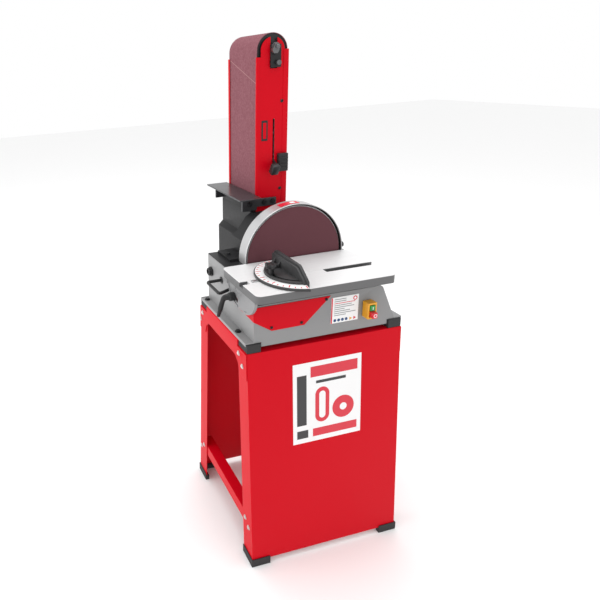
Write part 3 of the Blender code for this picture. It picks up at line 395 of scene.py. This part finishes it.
# ---- Machine casing ----------------------------------------------------------------------------
# Pressed sheet steel, sprayed light grey, with flanges bolted through the pads, a black top plate
# and a red cover sheet screwed round the front left corner.
grey_coat = finish("grey_spray", (0.27, 0.27, 0.272), (0.23, 0.23, 0.232), 0.33, mottle=0.8, scale=850,
                   patch=9, bump=0.12, gloss=0.3)
black_coat = finish("black_spray", (0.014, 0.014, 0.015), (0.028, 0.028, 0.03), 0.33, mottle=0.9,
                    scale=600, patch=25, bump=0.2, gloss=0.25)
dressed("base_casing", 0.0010, grey_coat)
dressed("top_plate", 0.0005, black_coat)
dressed("red_cover", 0.0004, red_coat)
flange_top = 0.5706
for k, (x, y) in enumerate(((-0.185, 0.104), (-0.185, -0.072), (0.186, 0.104), (0.186, -0.072))):
    hex_bolt(f"flange_bolt_{k}", (x, y, flange_top), (0, 0, 1), 0.0052, black_coat, "base")


def round_screw(name, centre, axis, radius, made, body):
    """A domed screw head with a driver recess in the middle."""
    shares = ((1, 0), (1, 0.25), (0.8, 0.5), (0.45, 0.6), (0.38, 0.2), (0.1, 0.2))
    profile = [(radius * across, radius * rise) for across, rise in shares]
    return keep(turned(name, profile, centre, axis, 24), body, made)


cover_front, cover_side, cover_screw_r = -0.1281, -0.1766, 0.0034
for k, (x, z) in enumerate(((-0.134, 0.600), (-0.062, 0.5995), (-0.003, 0.645))):
    round_screw(f"cover_screw_{k}", (x, cover_front, z), (0, -1, 0), cover_screw_r, black_coat, "base")
round_screw("cover_screw_side", (cover_side, -0.094, 0.6265), (-1, 0, 0), cover_screw_r, black_coat, "base")

# ---- Rating plate and switch -------------------------------------------------------------------
# A printed plate with rows of fine lines and a row of round signs, and a yellow switch box with a
# green start button and a red stop button that stands out.
paint(white_film, "rating_plate")
plate_front = -0.1276


def on_casing(x, z, height):
    """Points on the rating plate's face, raised off it by a height."""
    return np.column_stack([x, np.full(len(x), plate_front - height), z])


grey_print = finish("grey_print", (0.20, 0.20, 0.21), (0.30, 0.30, 0.30), 0.4, mottle=0.6, scale=900,
                    bump=0.02)
blue_print = finish("blue_print", (0.010, 0.05, 0.16), (0.02, 0.07, 0.20), 0.4, mottle=0.5, bump=0.02)
amber_print = finish("amber_print", (0.75, 0.38, 0.02), (0.65, 0.30, 0.02), 0.4, mottle=0.5, bump=0.02)
line_lengths = (0.030, 0.030, 0.052, 0.044, 0.050, 0.026, 0.040, 0.054, 0.030)
line_x, line_top, line_step, line_half = 0.0180, 0.6395, 0.0048, 0.0008


def plate_print(name, shape, made, lift=0.0001):
    """One printed shape on the rating plate."""
    film(name, shape, lift, ink, made, "base", on_casing)


plate_print("plate_stripe", bar(0.0108, 0.0140, 0.5828, 0.6447), red_print)
for k, long in enumerate(line_lengths):
    z = line_top - line_step * k
    plate_print(f"plate_line_{k}", bar(line_x, line_x + long, z - line_half, z + line_half),
                red_print if k == 2 else grey_print)
plate_print("plate_sign", disc(0.0700, 0.6370, 0.0052), red_print)
plate_print("plate_sign_eye", disc(0.0700, 0.6370, 0.0030), white_film, 0.0002)
for k in range(4):
    plate_print(f"plate_dot_{k}", disc(0.0210 + 0.0095 * k, 0.5890, 0.0036), blue_print)
for k, made in enumerate((amber_print, red_print)):
    plate_print(f"plate_triangle_{k}", disc(0.0600 + 0.0100 * k, 0.5886, 0.0046, 3), made)
yellow_shell = finish("yellow_shell", (0.80, 0.37, 0.012), (0.70, 0.30, 0.01), 0.34, mottle=0.6, scale=900,
                      bump=0.12, coat=0.2)
green_cap = finish("green_cap", (0.015, 0.30, 0.055), (0.01, 0.22, 0.04), 0.32, mottle=0.5, bump=0.05,
                   coat=0.3)
red_cap = finish("red_cap", (0.72, 0.012, 0.03), (0.60, 0.008, 0.02), 0.3, mottle=0.5, bump=0.05, coat=0.3)
dressed("switch_box", 0.0016, yellow_shell, 3)
paint(green_cap, "button_start")
paint(red_cap, "button_stop")


def on_button(depth):
    """A surface rule for signs on a button's face at the given depth."""
    return lambda x, z, height: np.column_stack([x, np.full(len(x), depth - height), z])


on_start, on_stop, button_lift = on_button(-0.1475), on_button(-0.1560), 0.00005
film("start_bar", bar(0.1004, 0.1020, 0.6110, 0.6178), button_lift, ink, white_film, "start_button", on_start)
film("stop_ring", disc(0.10125, 0.6000, 0.0042), button_lift, ink, white_film, "stop_button", on_stop)
film("stop_ring_eye", disc(0.10125, 0.6000, 0.0028), 0.00018, ink, red_cap, "stop_button", on_stop)

# ---- Carry handle and cable gland --------------------------------------------------------------
# A bent steel bar in a black sleeve on the left wall, with a round foot at each end, and behind it
# the ribbed nut where the supply enters.
black_mould = finish("black_moulding", (0.016, 0.016, 0.017), (0.03, 0.03, 0.031), 0.30, mottle=0.8,
                     scale=1200, patch=60, bump=0.2, gloss=0.3)
paint(black_mould, "carry_handle", "cable_gland")
wall_x, wall_z = -0.1752, 0.650
flange = [(0.0085, 0), (0.0085, 0.0012), (0.0070, 0.0020), (0.0048, 0.0022)]
for k, y in enumerate((-0.0175, 0.038)):
    keep(turned(f"handle_foot_{k}", flange, (wall_x, y, wall_z), (-1, 0, 0), 32), "base", black_mould)


def ribbed(count, depth, rows):
    """The radius factor of a grip with even ribs or lobes on the given profile rows."""
    return lambda turn, row: 1 + (depth * np.cos(count * turn) if row in rows else 0 * turn)


gland_nut = [(0.0120, 0), (0.0120, 0.0035), (0.0098, 0.0042), (0.0098, 0.0082), (0.0084, 0.0098),
             (0.0066, 0.0106), (0.0054, 0.0104), (0.0050, 0.0060)]
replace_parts(keep(turned("gland_nut", gland_nut, (-0.1754, 0.098, 0.650), (-1, 0, 0), 60,
                        ribbed(12, 0.04, (2, 3, 4))), "base", black_mould), "cable_gland")

# ---- Drive inside the casing -------------------------------------------------------------------
# Motor, pulleys, shaft and ribbed belt, seen only from below; the plain pieces inside the belt arm
# take their finishes here too.
steel = finish("bright_steel_skin", (0.56, 0.56, 0.57), (0.40, 0.40, 0.41), 0.26, 1.0, mottle=0.8,
               scale=900, patch=60, stretch=(1, 8, 1), bump=0.12)
paint(black_coat, "motor_body")
paint(grey_coat, "arm_spine")
paint(steel, "motor_pulley", "main_shaft", "bearing_front", "bearing_middle", "bearing_rear", "platen",
      "tension_spring")
paint(black_coat, "idler_yoke")
paint(rubber, "drive_belt", "drive_drum")

# ---- Disc table --------------------------------------------------------------------------------
# Aluminium casting: the top is ground to a bright flat face, the rim and underside are sprayed
# grey, and a slotted trunnion carries it on the left.
table_finish = finish("ground_table", (0.80, 0.80, 0.80), (0.66, 0.66, 0.67), 0.36, 0.2, mottle=0.8,
                      scale=240, patch=18, stretch=(0.6, 9, 1), spread=0.15, bump=0.12)


def add_rim_colour(made, low, high, colour):
    """Below the height low the base colour is the rim's, above high it is the ground face's."""
    nodes, links = made.node_tree.nodes, made.node_tree.links
    shader = nodes["Principled BSDF"]
    face = shader.inputs["Base Color"].links[0].from_socket
    place, apart = nodes.new("ShaderNodeTexCoord"), nodes.new("ShaderNodeSeparateXYZ")
    ramp, blend = nodes.new("ShaderNodeMapRange"), nodes.new("ShaderNodeMix")
    blend.data_type = "RGBA"
    links.new(place.outputs["Object"], apart.inputs[0])
    links.new(apart.outputs["Z"], ramp.inputs["Value"])
    ramp.inputs["From Min"].default_value = low
    ramp.inputs["From Max"].default_value = high
    links.new(ramp.outputs["Result"], blend.inputs["Factor"])
    blend.inputs[6].default_value = (*colour, 1)
    links.new(face, blend.inputs[7])
    links.new(blend.outputs[2], shader.inputs["Base Color"])


add_rim_colour(table_finish, 0.6957, 0.6966, (0.125, 0.125, 0.127))
dressed("disc_table", 0.0011, table_finish, 3)
cast_grey = finish("cast_grey", (0.30, 0.30, 0.305), (0.20, 0.20, 0.205), 0.42, 0.3, mottle=1.0, scale=420,
                   patch=70, bump=0.5, depth=0.0004)
dressed("table_trunnion", 0.0012, cast_grey)
paint(cast_grey, "pivot_bracket_left", "pivot_bracket_right")


def rib(name, centre, radius, turn0, turn1, half, x0, x1, made, body):
    """A raised arc on the trunnion: its section is a small rectangle carried round an arc in YZ."""
    turn = np.radians(np.linspace(turn0, turn1, 24))
    section = ((x0, -half), (x1, -half), (x1, half), (x0, half))
    grid = np.array([[(x, centre[0] + (radius + r) * math.cos(a), centre[1] + (radius + r) * math.sin(a))
                      for x, r in section] for a in turn])
    return keep(skinned(name, grid), body, made)


tilt_z, trunnion_face = 0.684, -0.1849
for name, y, radius, turn0, turn1, half, x in (
        ("trunnion_rim", -0.099, 0.0515, 190, 268, 0.0022, -0.1862),
        ("trunnion_rim_back", -0.073, 0.0515, 272, 350, 0.0022, -0.1862),
        ("trunnion_step", -0.073, 0.0200, 200, 340, 0.0016, -0.1858)):
    rib(name, (y, tilt_z), radius, turn0, turn1, half, x, trunnion_face, cast_grey, "disc_table")

# ---- Tilt clamp lever --------------------------------------------------------------------------
# Die-cast lever in black on the trunnion's left side: a ribbed hub on the clamp stud and an arm that
# kinks down to a flat grip.
clamp_hub = [(0.0090, 0), (0.0098, 0.0010), (0.0098, 0.0120), (0.0082, 0.0142), (0.0040, 0.0152),
             (0.0010, 0.0154)]
keep(turned("clamp_hub", clamp_hub, (-0.1857, -0.054, 0.650), (-1, 0, 0), 60, ribbed(14, 0.025, (1, 2))),
     "clamp_lever", black_mould)


def smooth_curve(knots, values, where):
    """Cubic through the knots with the slope at each taken from its neighbours."""
    slope = np.gradient(values, knots)
    k = np.clip(np.searchsorted(knots, where, side="right") - 1, 0, len(knots) - 2)
    span = knots[k + 1] - knots[k]
    t = (where - knots[k]) / span
    return ((2 * t**3 - 3 * t**2 + 1) * values[k] + (t**3 - 2 * t**2 + t) * span * slope[k]
            + (3 * t**2 - 2 * t**3) * values[k + 1] + (t**3 - t**2) * span * slope[k + 1])


def swept(name, path, widths, heights, made, body, up):
    """A superellipse |a/w|^p + |b/h|^p = 1 carried along a smooth path, with its width and height
    given at each point and eased between them."""
    power, sides = 2.6, 24
    path = np.array(path, float)
    knots = np.linspace(0, 1, len(path))
    fine = np.linspace(0, 1, 8 * len(path))
    line = np.column_stack([smooth_curve(knots, path[:, k], fine) for k in range(3)])
    wide, tall = np.interp(fine, knots, widths), np.interp(fine, knots, heights)
    ahead = np.gradient(line, axis=0)
    ahead /= np.linalg.norm(ahead, axis=1)[:, None]
    across = np.cross(ahead, np.array(up, float))
    across /= np.linalg.norm(across, axis=1)[:, None]
    over = np.cross(across, ahead)
    turn = np.arange(sides) * 2 * math.pi / sides
    a = np.sign(np.cos(turn)) * np.abs(np.cos(turn)) ** (2 / power)
    b = np.sign(np.sin(turn)) * np.abs(np.sin(turn)) ** (2 / power)
    grid = (line[:, None] + wide[:, None, None] * a[None, :, None] * across[:, None]
            + tall[:, None, None] * b[None, :, None] * over[:, None])
    return keep(skinned(name, grid), body, made)


lever_path = [(-0.1935, -0.0540, 0.6500), (-0.2020, -0.0530, 0.6500), (-0.2085, -0.0510, 0.6475),
              (-0.2120, -0.0490, 0.6390), (-0.2155, -0.0450, 0.6200), (-0.2190, -0.0405, 0.5990)]
lever_widths = (0.0072, 0.0068, 0.0066, 0.0056, 0.0062, 0.0036)
lever_heights = (0.0072, 0.0060, 0.0050, 0.0040, 0.0040, 0.0028)
lever = swept("clamp_arm", lever_path, lever_widths, lever_heights, black_mould, "clamp_lever", (0, 1, 0))
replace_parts(lever, "table_clamp_lever")

# ---- Mitre gauge -------------------------------------------------------------------------------
# Black die-cast protractor head on a steel bar: a half-round plate with a white scale band, a
# raised arc that the clamp knob slides round, and an upright fence with bevelled ends.
bar_steel = finish("bar_steel", (0.78, 0.78, 0.78), (0.62, 0.62, 0.63), 0.42, 0.15, mottle=0.8, scale=500,
                   patch=60, bump=0.1)
paint(bar_steel, "mitre_bar")
gauge_black = finish("gauge_black", (0.026, 0.026, 0.027), (0.06, 0.06, 0.062), 0.34, mottle=1.0,
                     scale=800, patch=60, bump=0.25, gloss=0.4)
pivot = np.array((-0.060, -0.094))


def rounded_slab(name, outline, low, high, edge, made, body, lay):
    """A flat outline given thickness: near each face the outline moves inwards by e(1 - sin t) as
    the height moves by e(1 - cos t), which rounds the rim."""
    flat = np.array(outline, float)
    before, after = np.roll(flat, 1, axis=0), np.roll(flat, -1, axis=0)
    way = after - before
    inward = np.column_stack([-way[:, 1], way[:, 0]]) / np.linalg.norm(way, axis=1)[:, None]
    area = np.sum(flat[:, 0] * after[:, 1] - after[:, 0] * flat[:, 1])
    inward *= np.sign(area)
    turn = np.linspace(0, math.pi / 2, 4)
    inset = edge * (1 - np.sin(turn))
    rise = edge * (1 - np.cos(turn))
    rows = [lay(*(flat + inward * i).T, low + r) for i, r in zip(inset, rise)]
    rows += [lay(*(flat + inward * i).T, high - r) for i, r in zip(inset[::-1], rise[::-1])]
    return keep(skinned(name, np.array(rows)), body, made)


def upright(x, y, z):
    """Plan points at a height."""
    return np.column_stack([x, y, np.full(len(x), z)])


def facing_y(x, z, y):
    """Front-view points at a depth."""
    return np.column_stack([x, np.full(len(x), y), z])


def facing_x(y, z, x):
    """Side-view points at a distance along X."""
    return np.column_stack([np.full(len(y), x), y, z])


def arc_plan(radius, turn0, turn1, count):
    """Plan points of an arc round the pivot, angles in degrees."""
    turn = np.radians(np.linspace(turn0, turn1, count))
    return np.column_stack([pivot[0] + radius * np.cos(turn), pivot[1] + radius * np.sin(turn)])


def sector(inner, outer, turn0, turn1, count=48):
    """A band between two radii."""
    return np.concatenate([arc_plan(outer, turn0, turn1, count), arc_plan(inner, turn1, turn0, count)])


base_z, plate_top, scale_top = 0.6973, 0.7031, 0.7040
tick_out, tick_half = 0.0840, 0.80
head = rounded_slab("mitre_plate", arc_plan(0.088, 101, 259, 64), base_z, 0.7032, 0.0012, gauge_black,
                    "mitre_head", upright)
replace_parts(head, "mitre_head")
scale_white = finish("scale_white", (0.80, 0.80, 0.80), (0.68, 0.68, 0.69), 0.33, mottle=0.5, scale=500,
                     bump=0.04)
for part, shape, top, edge, made in (
        ("scale", sector(0.0665, 0.0855, 102, 258), scale_top, 0.0002, scale_white),
        ("rise_outer", sector(0.0600, 0.0660, 101, 259), 0.7092, 0.0008, gauge_black),
        ("rise_inner", arc_plan(0.0520, 103, 257, 40), 0.7086, 0.0008, gauge_black)):
    rounded_slab("mitre_" + part, shape, plate_top, top, edge, made, "mitre_head", upright)
for k, turn in enumerate(np.linspace(104, 256, 19)):
    tick_in = 0.0785 if k % 3 else 0.0725
    film(f"mitre_tick_{k:02d}", sector(tick_in, tick_out, turn - tick_half, turn + tick_half, 2), scale_top,
         ink, red_print, "mitre_head", upright)
fence_outline = np.array([(-0.1625, base_z), (-0.1625, 0.7100), (-0.1590, 0.7135), (-0.1330, 0.7350),
                          (-0.1295, 0.7366), (-0.0400, 0.7384), (-0.0330, 0.7370), (-0.0285, 0.7330),
                          (-0.0265, 0.7260), (-0.0262, 0.7120), (-0.0262, base_z)])
lower_fence = fence_outline.copy()
lower_fence[3:8, 1] -= 0.0045
lower_fence[1:3, 0] += 0.0030
lower_fence[8:10, 0] -= 0.0030
for part, shape, x0, x1 in (("fence", fence_outline, -0.0745, -0.0680),
                            ("fence_back", lower_fence, -0.0800, -0.0740)):
    rounded_slab("mitre_" + part, shape, x0, x1, 0.0010, gauge_black, "mitre_head", facing_x)
for k, y in enumerate((-0.066, -0.045)):
    web = np.array([(-0.0795, 0.7080), (-0.0795, 0.7240), (-0.0860, 0.7150), (-0.0920, 0.7090),
                    (-0.0920, 0.7080)])
    rounded_slab(f"mitre_web_{k}", web, y - 0.0022, y + 0.0022, 0.0006, gauge_black, "mitre_head", facing_y)
tongue = np.concatenate([[(-0.0760, -0.1025)], arc_plan(0.0085, -90, 90, 20), [(-0.0760, -0.0855)]])
rounded_slab("mitre_tongue", tongue, base_z, 0.7036, 0.0008, gauge_black, "mitre_head", upright)
round_screw("mitre_pivot_screw", (*pivot, 0.7035), (0, 0, 1), 0.0055, steel, "mitre_head")
pointer = np.array([(-0.1500, -0.0905), (-0.1500, -0.0975), (-0.1640, -0.0975), (-0.1640, -0.0905)])
rounded_slab("mitre_pointer_foot", pointer, 0.6969, 0.7000, 0.0004, steel, "mitre_bar", upright)
knob_centre = (-0.117, -0.094)
knob_profile = [(0.0058, 0.7095), (0.0056, 0.7180), (0.0068, 0.7225), (0.0112, 0.7240), (0.0128, 0.7262),
                (0.0130, 0.7308), (0.0112, 0.7330), (0.0060, 0.7338), (0.0048, 0.7326), (0.0010, 0.7324)]
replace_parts(keep(turned("mitre_grip", knob_profile, (*knob_centre, 0), (0, 0, 1), 80,
                        ribbed(5, 0.17, (3, 4, 5, 6))), "mitre_knob", black_mould), "mitre_knob")

# ---- Sanding disc and guard --------------------------------------------------------------------
# Turned aluminium disc with a brown-red coated cloth face, under a cast guard ring whose web closes
# it behind and whose lip leaves a gap round the disc, its shade painted by a near-black liner. A small
# printed sign sits on the guard's crown and a black knob on its right foot.
bright_cast = finish("bright_cast", (0.56, 0.56, 0.565), (0.44, 0.44, 0.445), 0.30, 0.6, mottle=0.8,
                     scale=420, patch=40, bump=0.25)
grit = finish("grit_cloth", (0.100, 0.032, 0.042), (0.17, 0.075, 0.085), 0.74, mottle=1.6, scale=2600,
              patch=1500, spread=0.2, bump=0.8, depth=0.0004, gloss=0.1)
paint(bright_cast, "disc_plate", "shaft_pulley")
paint(grit, "disc_abrasive")
dressed("disc_guard", 0.0012, bright_cast, 3)
# Near-black paint for the inside of the guard's rim: painted shade in the gap round the disc.
gap_shade_paint = finish("painted_gap_shade", (0.006, 0.006, 0.006), (0.01, 0.01, 0.01), 0.7, bump=0.05)
guard_r, shaft_z = 0.1293, 0.700
turn = np.radians(np.linspace(-2.6, 182.6, 97))
# The second ring lines the rim's inner wall with the near-black finish, painted shade in the gap.
for label, made, section in (
        ("guard_lip", bright_cast, ((0.1270, 0.0062), (0.1272, 0.0052), (0.1276, 0.0046), (0.1286, 0.0046),
                                    (0.1290, 0.0052), (0.1292, 0.0062), (0.1292, 0.0090), (0.1270, 0.0090))),
        ("guard_liner", gap_shade_paint, ((0.1265, 0.0070), (0.1272, 0.0070), (0.1272, 0.0330), (0.1265, 0.0330)))):
    grid = np.array([[(r * math.cos(a), y, shaft_z + r * math.sin(a)) for r, y in section] for a in turn])
    keep(skinned(label, grid), "base", made)


def on_guard(turn_deg, y, height):
    """Points wrapped on the guard's rim: an angle in degrees and a depth."""
    a, reach = np.radians(turn_deg), guard_r + height
    return np.column_stack([reach * np.cos(a), y, shaft_z + reach * np.sin(a)])


def wrapped_bar(turn0, turn1, count, y0, y1):
    """A rectangle on the rim: an edge at each depth, with enough points to follow the curve."""
    turn = np.linspace(turn0, turn1, count)
    return np.concatenate([np.column_stack([turn, np.full(count, y0)]),
                           np.column_stack([turn[::-1], np.full(count, y1)])])


film("guard_sign", wrapped_bar(84, 106, 12, 0.0100, 0.0290), 0.0, 0.0003, red_print, "base", on_guard)
film("guard_sign_mark", wrapped_bar(88, 93, 6, 0.0140, 0.0250), 0.0004, ink, white_film, "base", on_guard)
guard_grip = [(0.0036, 0), (0.0036, 0.0035), (0.0062, 0.0042), (0.0070, 0.0055), (0.0070, 0.0112),
              (0.0056, 0.0128), (0.0010, 0.0130)]
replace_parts(keep(turned("guard_grip", guard_grip, (guard_r, 0.022, 0.705), (1, 0, 0), 60,
                        ribbed(16, 0.035, (2, 3, 4))), "guard_screw", black_mould), "guard_knob")

# ---- Drum housing and hood ---------------------------------------------------------------------
# Black iron castings: a box over the front bearings, its foot bolted to the top plate, and a hood
# that runs back beside and under the drive drum, with a thin crest standing up beside the belt.
cast_black = finish("cast_black", (0.010, 0.010, 0.011), (0.030, 0.030, 0.031), 0.36, mottle=1.0,
                    scale=480, patch=60, spread=0.15, bump=0.5, depth=0.0005, gloss=0.18)


def rounded_outline(corners, radius, steps=3):
    """Replaces each corner by an arc: quadratic curve from radius before it to radius after it."""
    flat = np.array(corners, float)
    points = []
    for k, corner in enumerate(flat):
        before, after = flat[k - 1] - corner, flat[(k + 1) % len(flat)] - corner
        reach = min(radius, 0.45 * np.linalg.norm(before), 0.45 * np.linalg.norm(after))
        start = corner + before / np.linalg.norm(before) * reach
        end = corner + after / np.linalg.norm(after) * reach
        t = np.linspace(0, 1, steps + 1)[:, None]
        points.append((1 - t) ** 2 * start + 2 * t * (1 - t) * corner + t**2 * end)
    return np.concatenate(points)


dressed("drum_housing", 0.0025, cast_black, 3)
dressed("drum_hood", 0.0010, cast_black, 2)
crest = rounded_outline(bar(0.1212, 0.2772, 0.7870, 0.8200), 0.002)
rounded_slab("hood_crest", crest, -0.0600, -0.0560, 0.0010, cast_black, "base", facing_x)
for label, x in (("left", -0.1400), ("right", 0.0880)):
    hex_bolt("housing_bolt_" + label, (x, 0.0755, 0.6989), (0, 0, 1), 0.0056, black_coat, "base")
bearing_cap = [(0.0202, 0), (0.0202, 0.0002), (0.0196, 0.0004), (0.0110, 0.0004), (0.0105, 0.0001)]
keep(turned("bearing_cap", bearing_cap, (0, 0.2915, shaft_z), (0, 1, 0), 48), "base", cast_black)

# ---- Belt arm ----------------------------------------------------------------------------------
# Two red sheet sides with folded edges, open at the top for the idler's axle, with a dark slit for
# the tension lever, a sight frame and black screws.
for node in ("arm_side_front", "arm_side_back"):
    dressed(node, 0.0005, red_coat)


def fold(name, x, y_face, y_in, low, high):
    """The rolled edge of a side plate: a quarter-round strip that turns from the face to the side."""
    steps = np.linspace(0, math.pi / 2, 7)
    radius = 0.0030
    side = 1 if x > 0 else -1
    turn_y = 1 if y_in > y_face else -1
    outer = [(x - side * radius * (1 - math.sin(a)), y_face + turn_y * radius * (1 - math.cos(a)))
             for a in steps]
    sheet, overlap = 0.0012, 0.0100
    section = [(x - side * overlap, y_face), *outer, (x, y_in), (x - side * sheet, y_in),
               (x - side * sheet, y_face + turn_y * sheet), (x - side * overlap, y_face + turn_y * 0.0008)]
    grid = np.array([[(u, v, z) for u, v in section] for z in np.linspace(low, high, 12)])
    return keep(skinned(name, grid, angle=40), "arm", red_coat)


arm_front, arm_back = 0.1201, 0.2779
fold("fold_front_left", -0.0426, arm_front, 0.1240, 0.806, 1.1672)
fold("fold_front_right", 0.0428, arm_front, 0.1300, 0.746, 1.1838)
fold("fold_back_left", -0.0428, arm_back, 0.2680, 0.806, 1.1672)
fold("fold_back_right", 0.0428, arm_back, 0.2680, 0.746, 1.1838)
strip = [(0.0283, 0.7460), (0.0420, 0.7460), (0.0420, 1.1836), (0.0283, 1.1836)]
rounded_slab("arm_joggle", strip, 0.1196, 0.1205, 0.0003, red_coat, "arm", facing_y)
frame_outer = rounded_outline(bar(-0.0282, -0.0116, 0.9656, 1.0160), 0.0010)
rounded_slab("sight_frame", frame_outer, 0.1197, 0.1204, 0.0003, black_mould, "arm", facing_y)
film("sight_glass", bar(-0.0243, -0.0155, 0.9710, 1.0106), 0.0, 0.0001, red_coat, "arm",
     lambda x, z, height: np.column_stack([x, np.full(len(x), 0.1196 - height), z]))
for k, (x, z) in enumerate(((0.0257, 1.061), (0.0239, 0.841))):
    round_screw(f"arm_screw_{k}", (x, 0.1204, z), (0, -1, 0), 0.0040, black_mould, "arm")
    round_screw(f"arm_screw_back_{k}", (x, 0.2776, z), (0, 1, 0), 0.0040, black_mould, "arm")
dressed("arm_latch", 0.0022, black_mould, 3)
for k, z in enumerate((0.8935, 0.9020, 0.9105, 0.9190)):
    ridge = rounded_outline(bar(0.0160, 0.0385, z, z + 0.0040), 0.001, 2)
    rounded_slab(f"latch_ridge_{k}", ridge, 0.1068, 0.1086, 0.0006, black_mould, "arm", facing_y)
dressed("tension_lever", 0.0008, black_mould)

# ---- Sanding belt ------------------------------------------------------------------------------
# Coated cloth on two drums, brown-red grit outside, joined by a taped slanting seam that shows as a
# fine pale line. Its colour is lighter than the disc's cloth: painted sheen from the side light.
# The base and tint, lighter than the disc's grit, paint the belt's sheen into its colour; the mottle is the
# cloth's grit.
belt_grit_and_sheen = finish("belt_grit_and_sheen", (0.150, 0.042, 0.056), (0.27, 0.115, 0.135), 0.72, mottle=2.4, scale=1500,
                   patch=210, spread=0.2, bump=0.7, depth=0.0004, gloss=0.1)


def add_seam(made, y0, z0, y1, z1, half, colour):
    """Colours the points whose distance from the line through (y0, z0) and (y1, z1) is under half."""
    nodes, links = made.node_tree.nodes, made.node_tree.links
    shader = nodes["Principled BSDF"]
    cloth = shader.inputs["Base Color"].links[0].from_socket
    length = math.hypot(y1 - y0, z1 - z0)
    place, across = nodes.new("ShaderNodeTexCoord"), nodes.new("ShaderNodeVectorMath")
    across.operation = "DOT_PRODUCT"
    links.new(place.outputs["Object"], across.inputs[0])
    normal = ((z1 - z0) / length, -(y1 - y0) / length)
    across.inputs[1].default_value = (0, normal[0], normal[1])
    apart = nodes.new("ShaderNodeMath")
    apart.operation = "SUBTRACT"
    apart.inputs[1].default_value = y0 * normal[0] + z0 * normal[1]
    links.new(across.outputs["Value"], apart.inputs[0])
    far = nodes.new("ShaderNodeMath")
    far.operation = "ABSOLUTE"
    links.new(apart.outputs[0], far.inputs[0])
    near = nodes.new("ShaderNodeMapRange")
    near.inputs["From Min"].default_value = half * 0.6
    near.inputs["From Max"].default_value = half * 1.3
    near.inputs["To Min"].default_value = 0.75
    near.inputs["To Max"].default_value = 0.0
    links.new(far.outputs[0], near.inputs["Value"])
    blend = nodes.new("ShaderNodeMix")
    blend.data_type = "RGBA"
    links.new(near.outputs["Result"], blend.inputs["Factor"])
    links.new(cloth, blend.inputs[6])
    blend.inputs[7].default_value = (*colour, 1)
    links.new(blend.outputs[2], shader.inputs["Base Color"])


add_seam(belt_grit_and_sheen, 0.124, 1.1052, 0.2575, 1.1593, 0.0006, (0.46, 0.27, 0.26))
paint(belt_grit_and_sheen, "sanding_belt")

# ---- Idler, axle and tracking screws -----------------------------------------------------------
# Black drum on a dark steel axle that hangs in the arm's slots: a lock nut in front, and a black
# block with the tracking screw below it.
paint(black_mould, "idler_drum")
dark_zinc = finish("dark_zinc", (0.16, 0.16, 0.165), (0.06, 0.06, 0.062), 0.24, 0.7, mottle=1.0, scale=1400,
                   patch=160, bump=0.2)
paint(dark_zinc, "idler_axle", "tracking_knob")
axle_nut = [(0.0105, 0), (0.0105, 0.0014), (0.0088, 0.0016), (0.0088, 0.0070), (0.0078, 0.0080),
            (0.0045, 0.0080), (0.0045, 0.0110), (0.0036, 0.0120), (0.0010, 0.0120)]
keep(turned("axle_nut", axle_nut, (0.0035, 0.1138, 1.1900), (0, -1, 0), 48, hexagon((2, 3))), "yoke",
     dark_zinc)
dressed("tracking_block", 0.0008, black_coat)

# ---- Belt work table ---------------------------------------------------------------------------
# Black steel plate across the belt on a bent bracket, bolted through slots to the arm's sides with
# black hexagon bolts.
dark_steel = finish("dark_steel", (0.045, 0.046, 0.050), (0.085, 0.086, 0.09), 0.28, 0.35, mottle=0.9,
                    scale=700, patch=30, bump=0.2, coat=0.2)
dressed("belt_table", 0.0008, dark_steel)
for label, x, y, z in (("0", -0.0220, 0.1147, 0.8100), ("1", 0.0016, 0.1147, 0.8100),
                       ("under", -0.0620, 0.1146, 0.8080)):
    hex_bolt("table_bolt_" + label, (x, y, z), (0, -1, 0), 0.0050, black_coat, "belt_table", 0.0034)
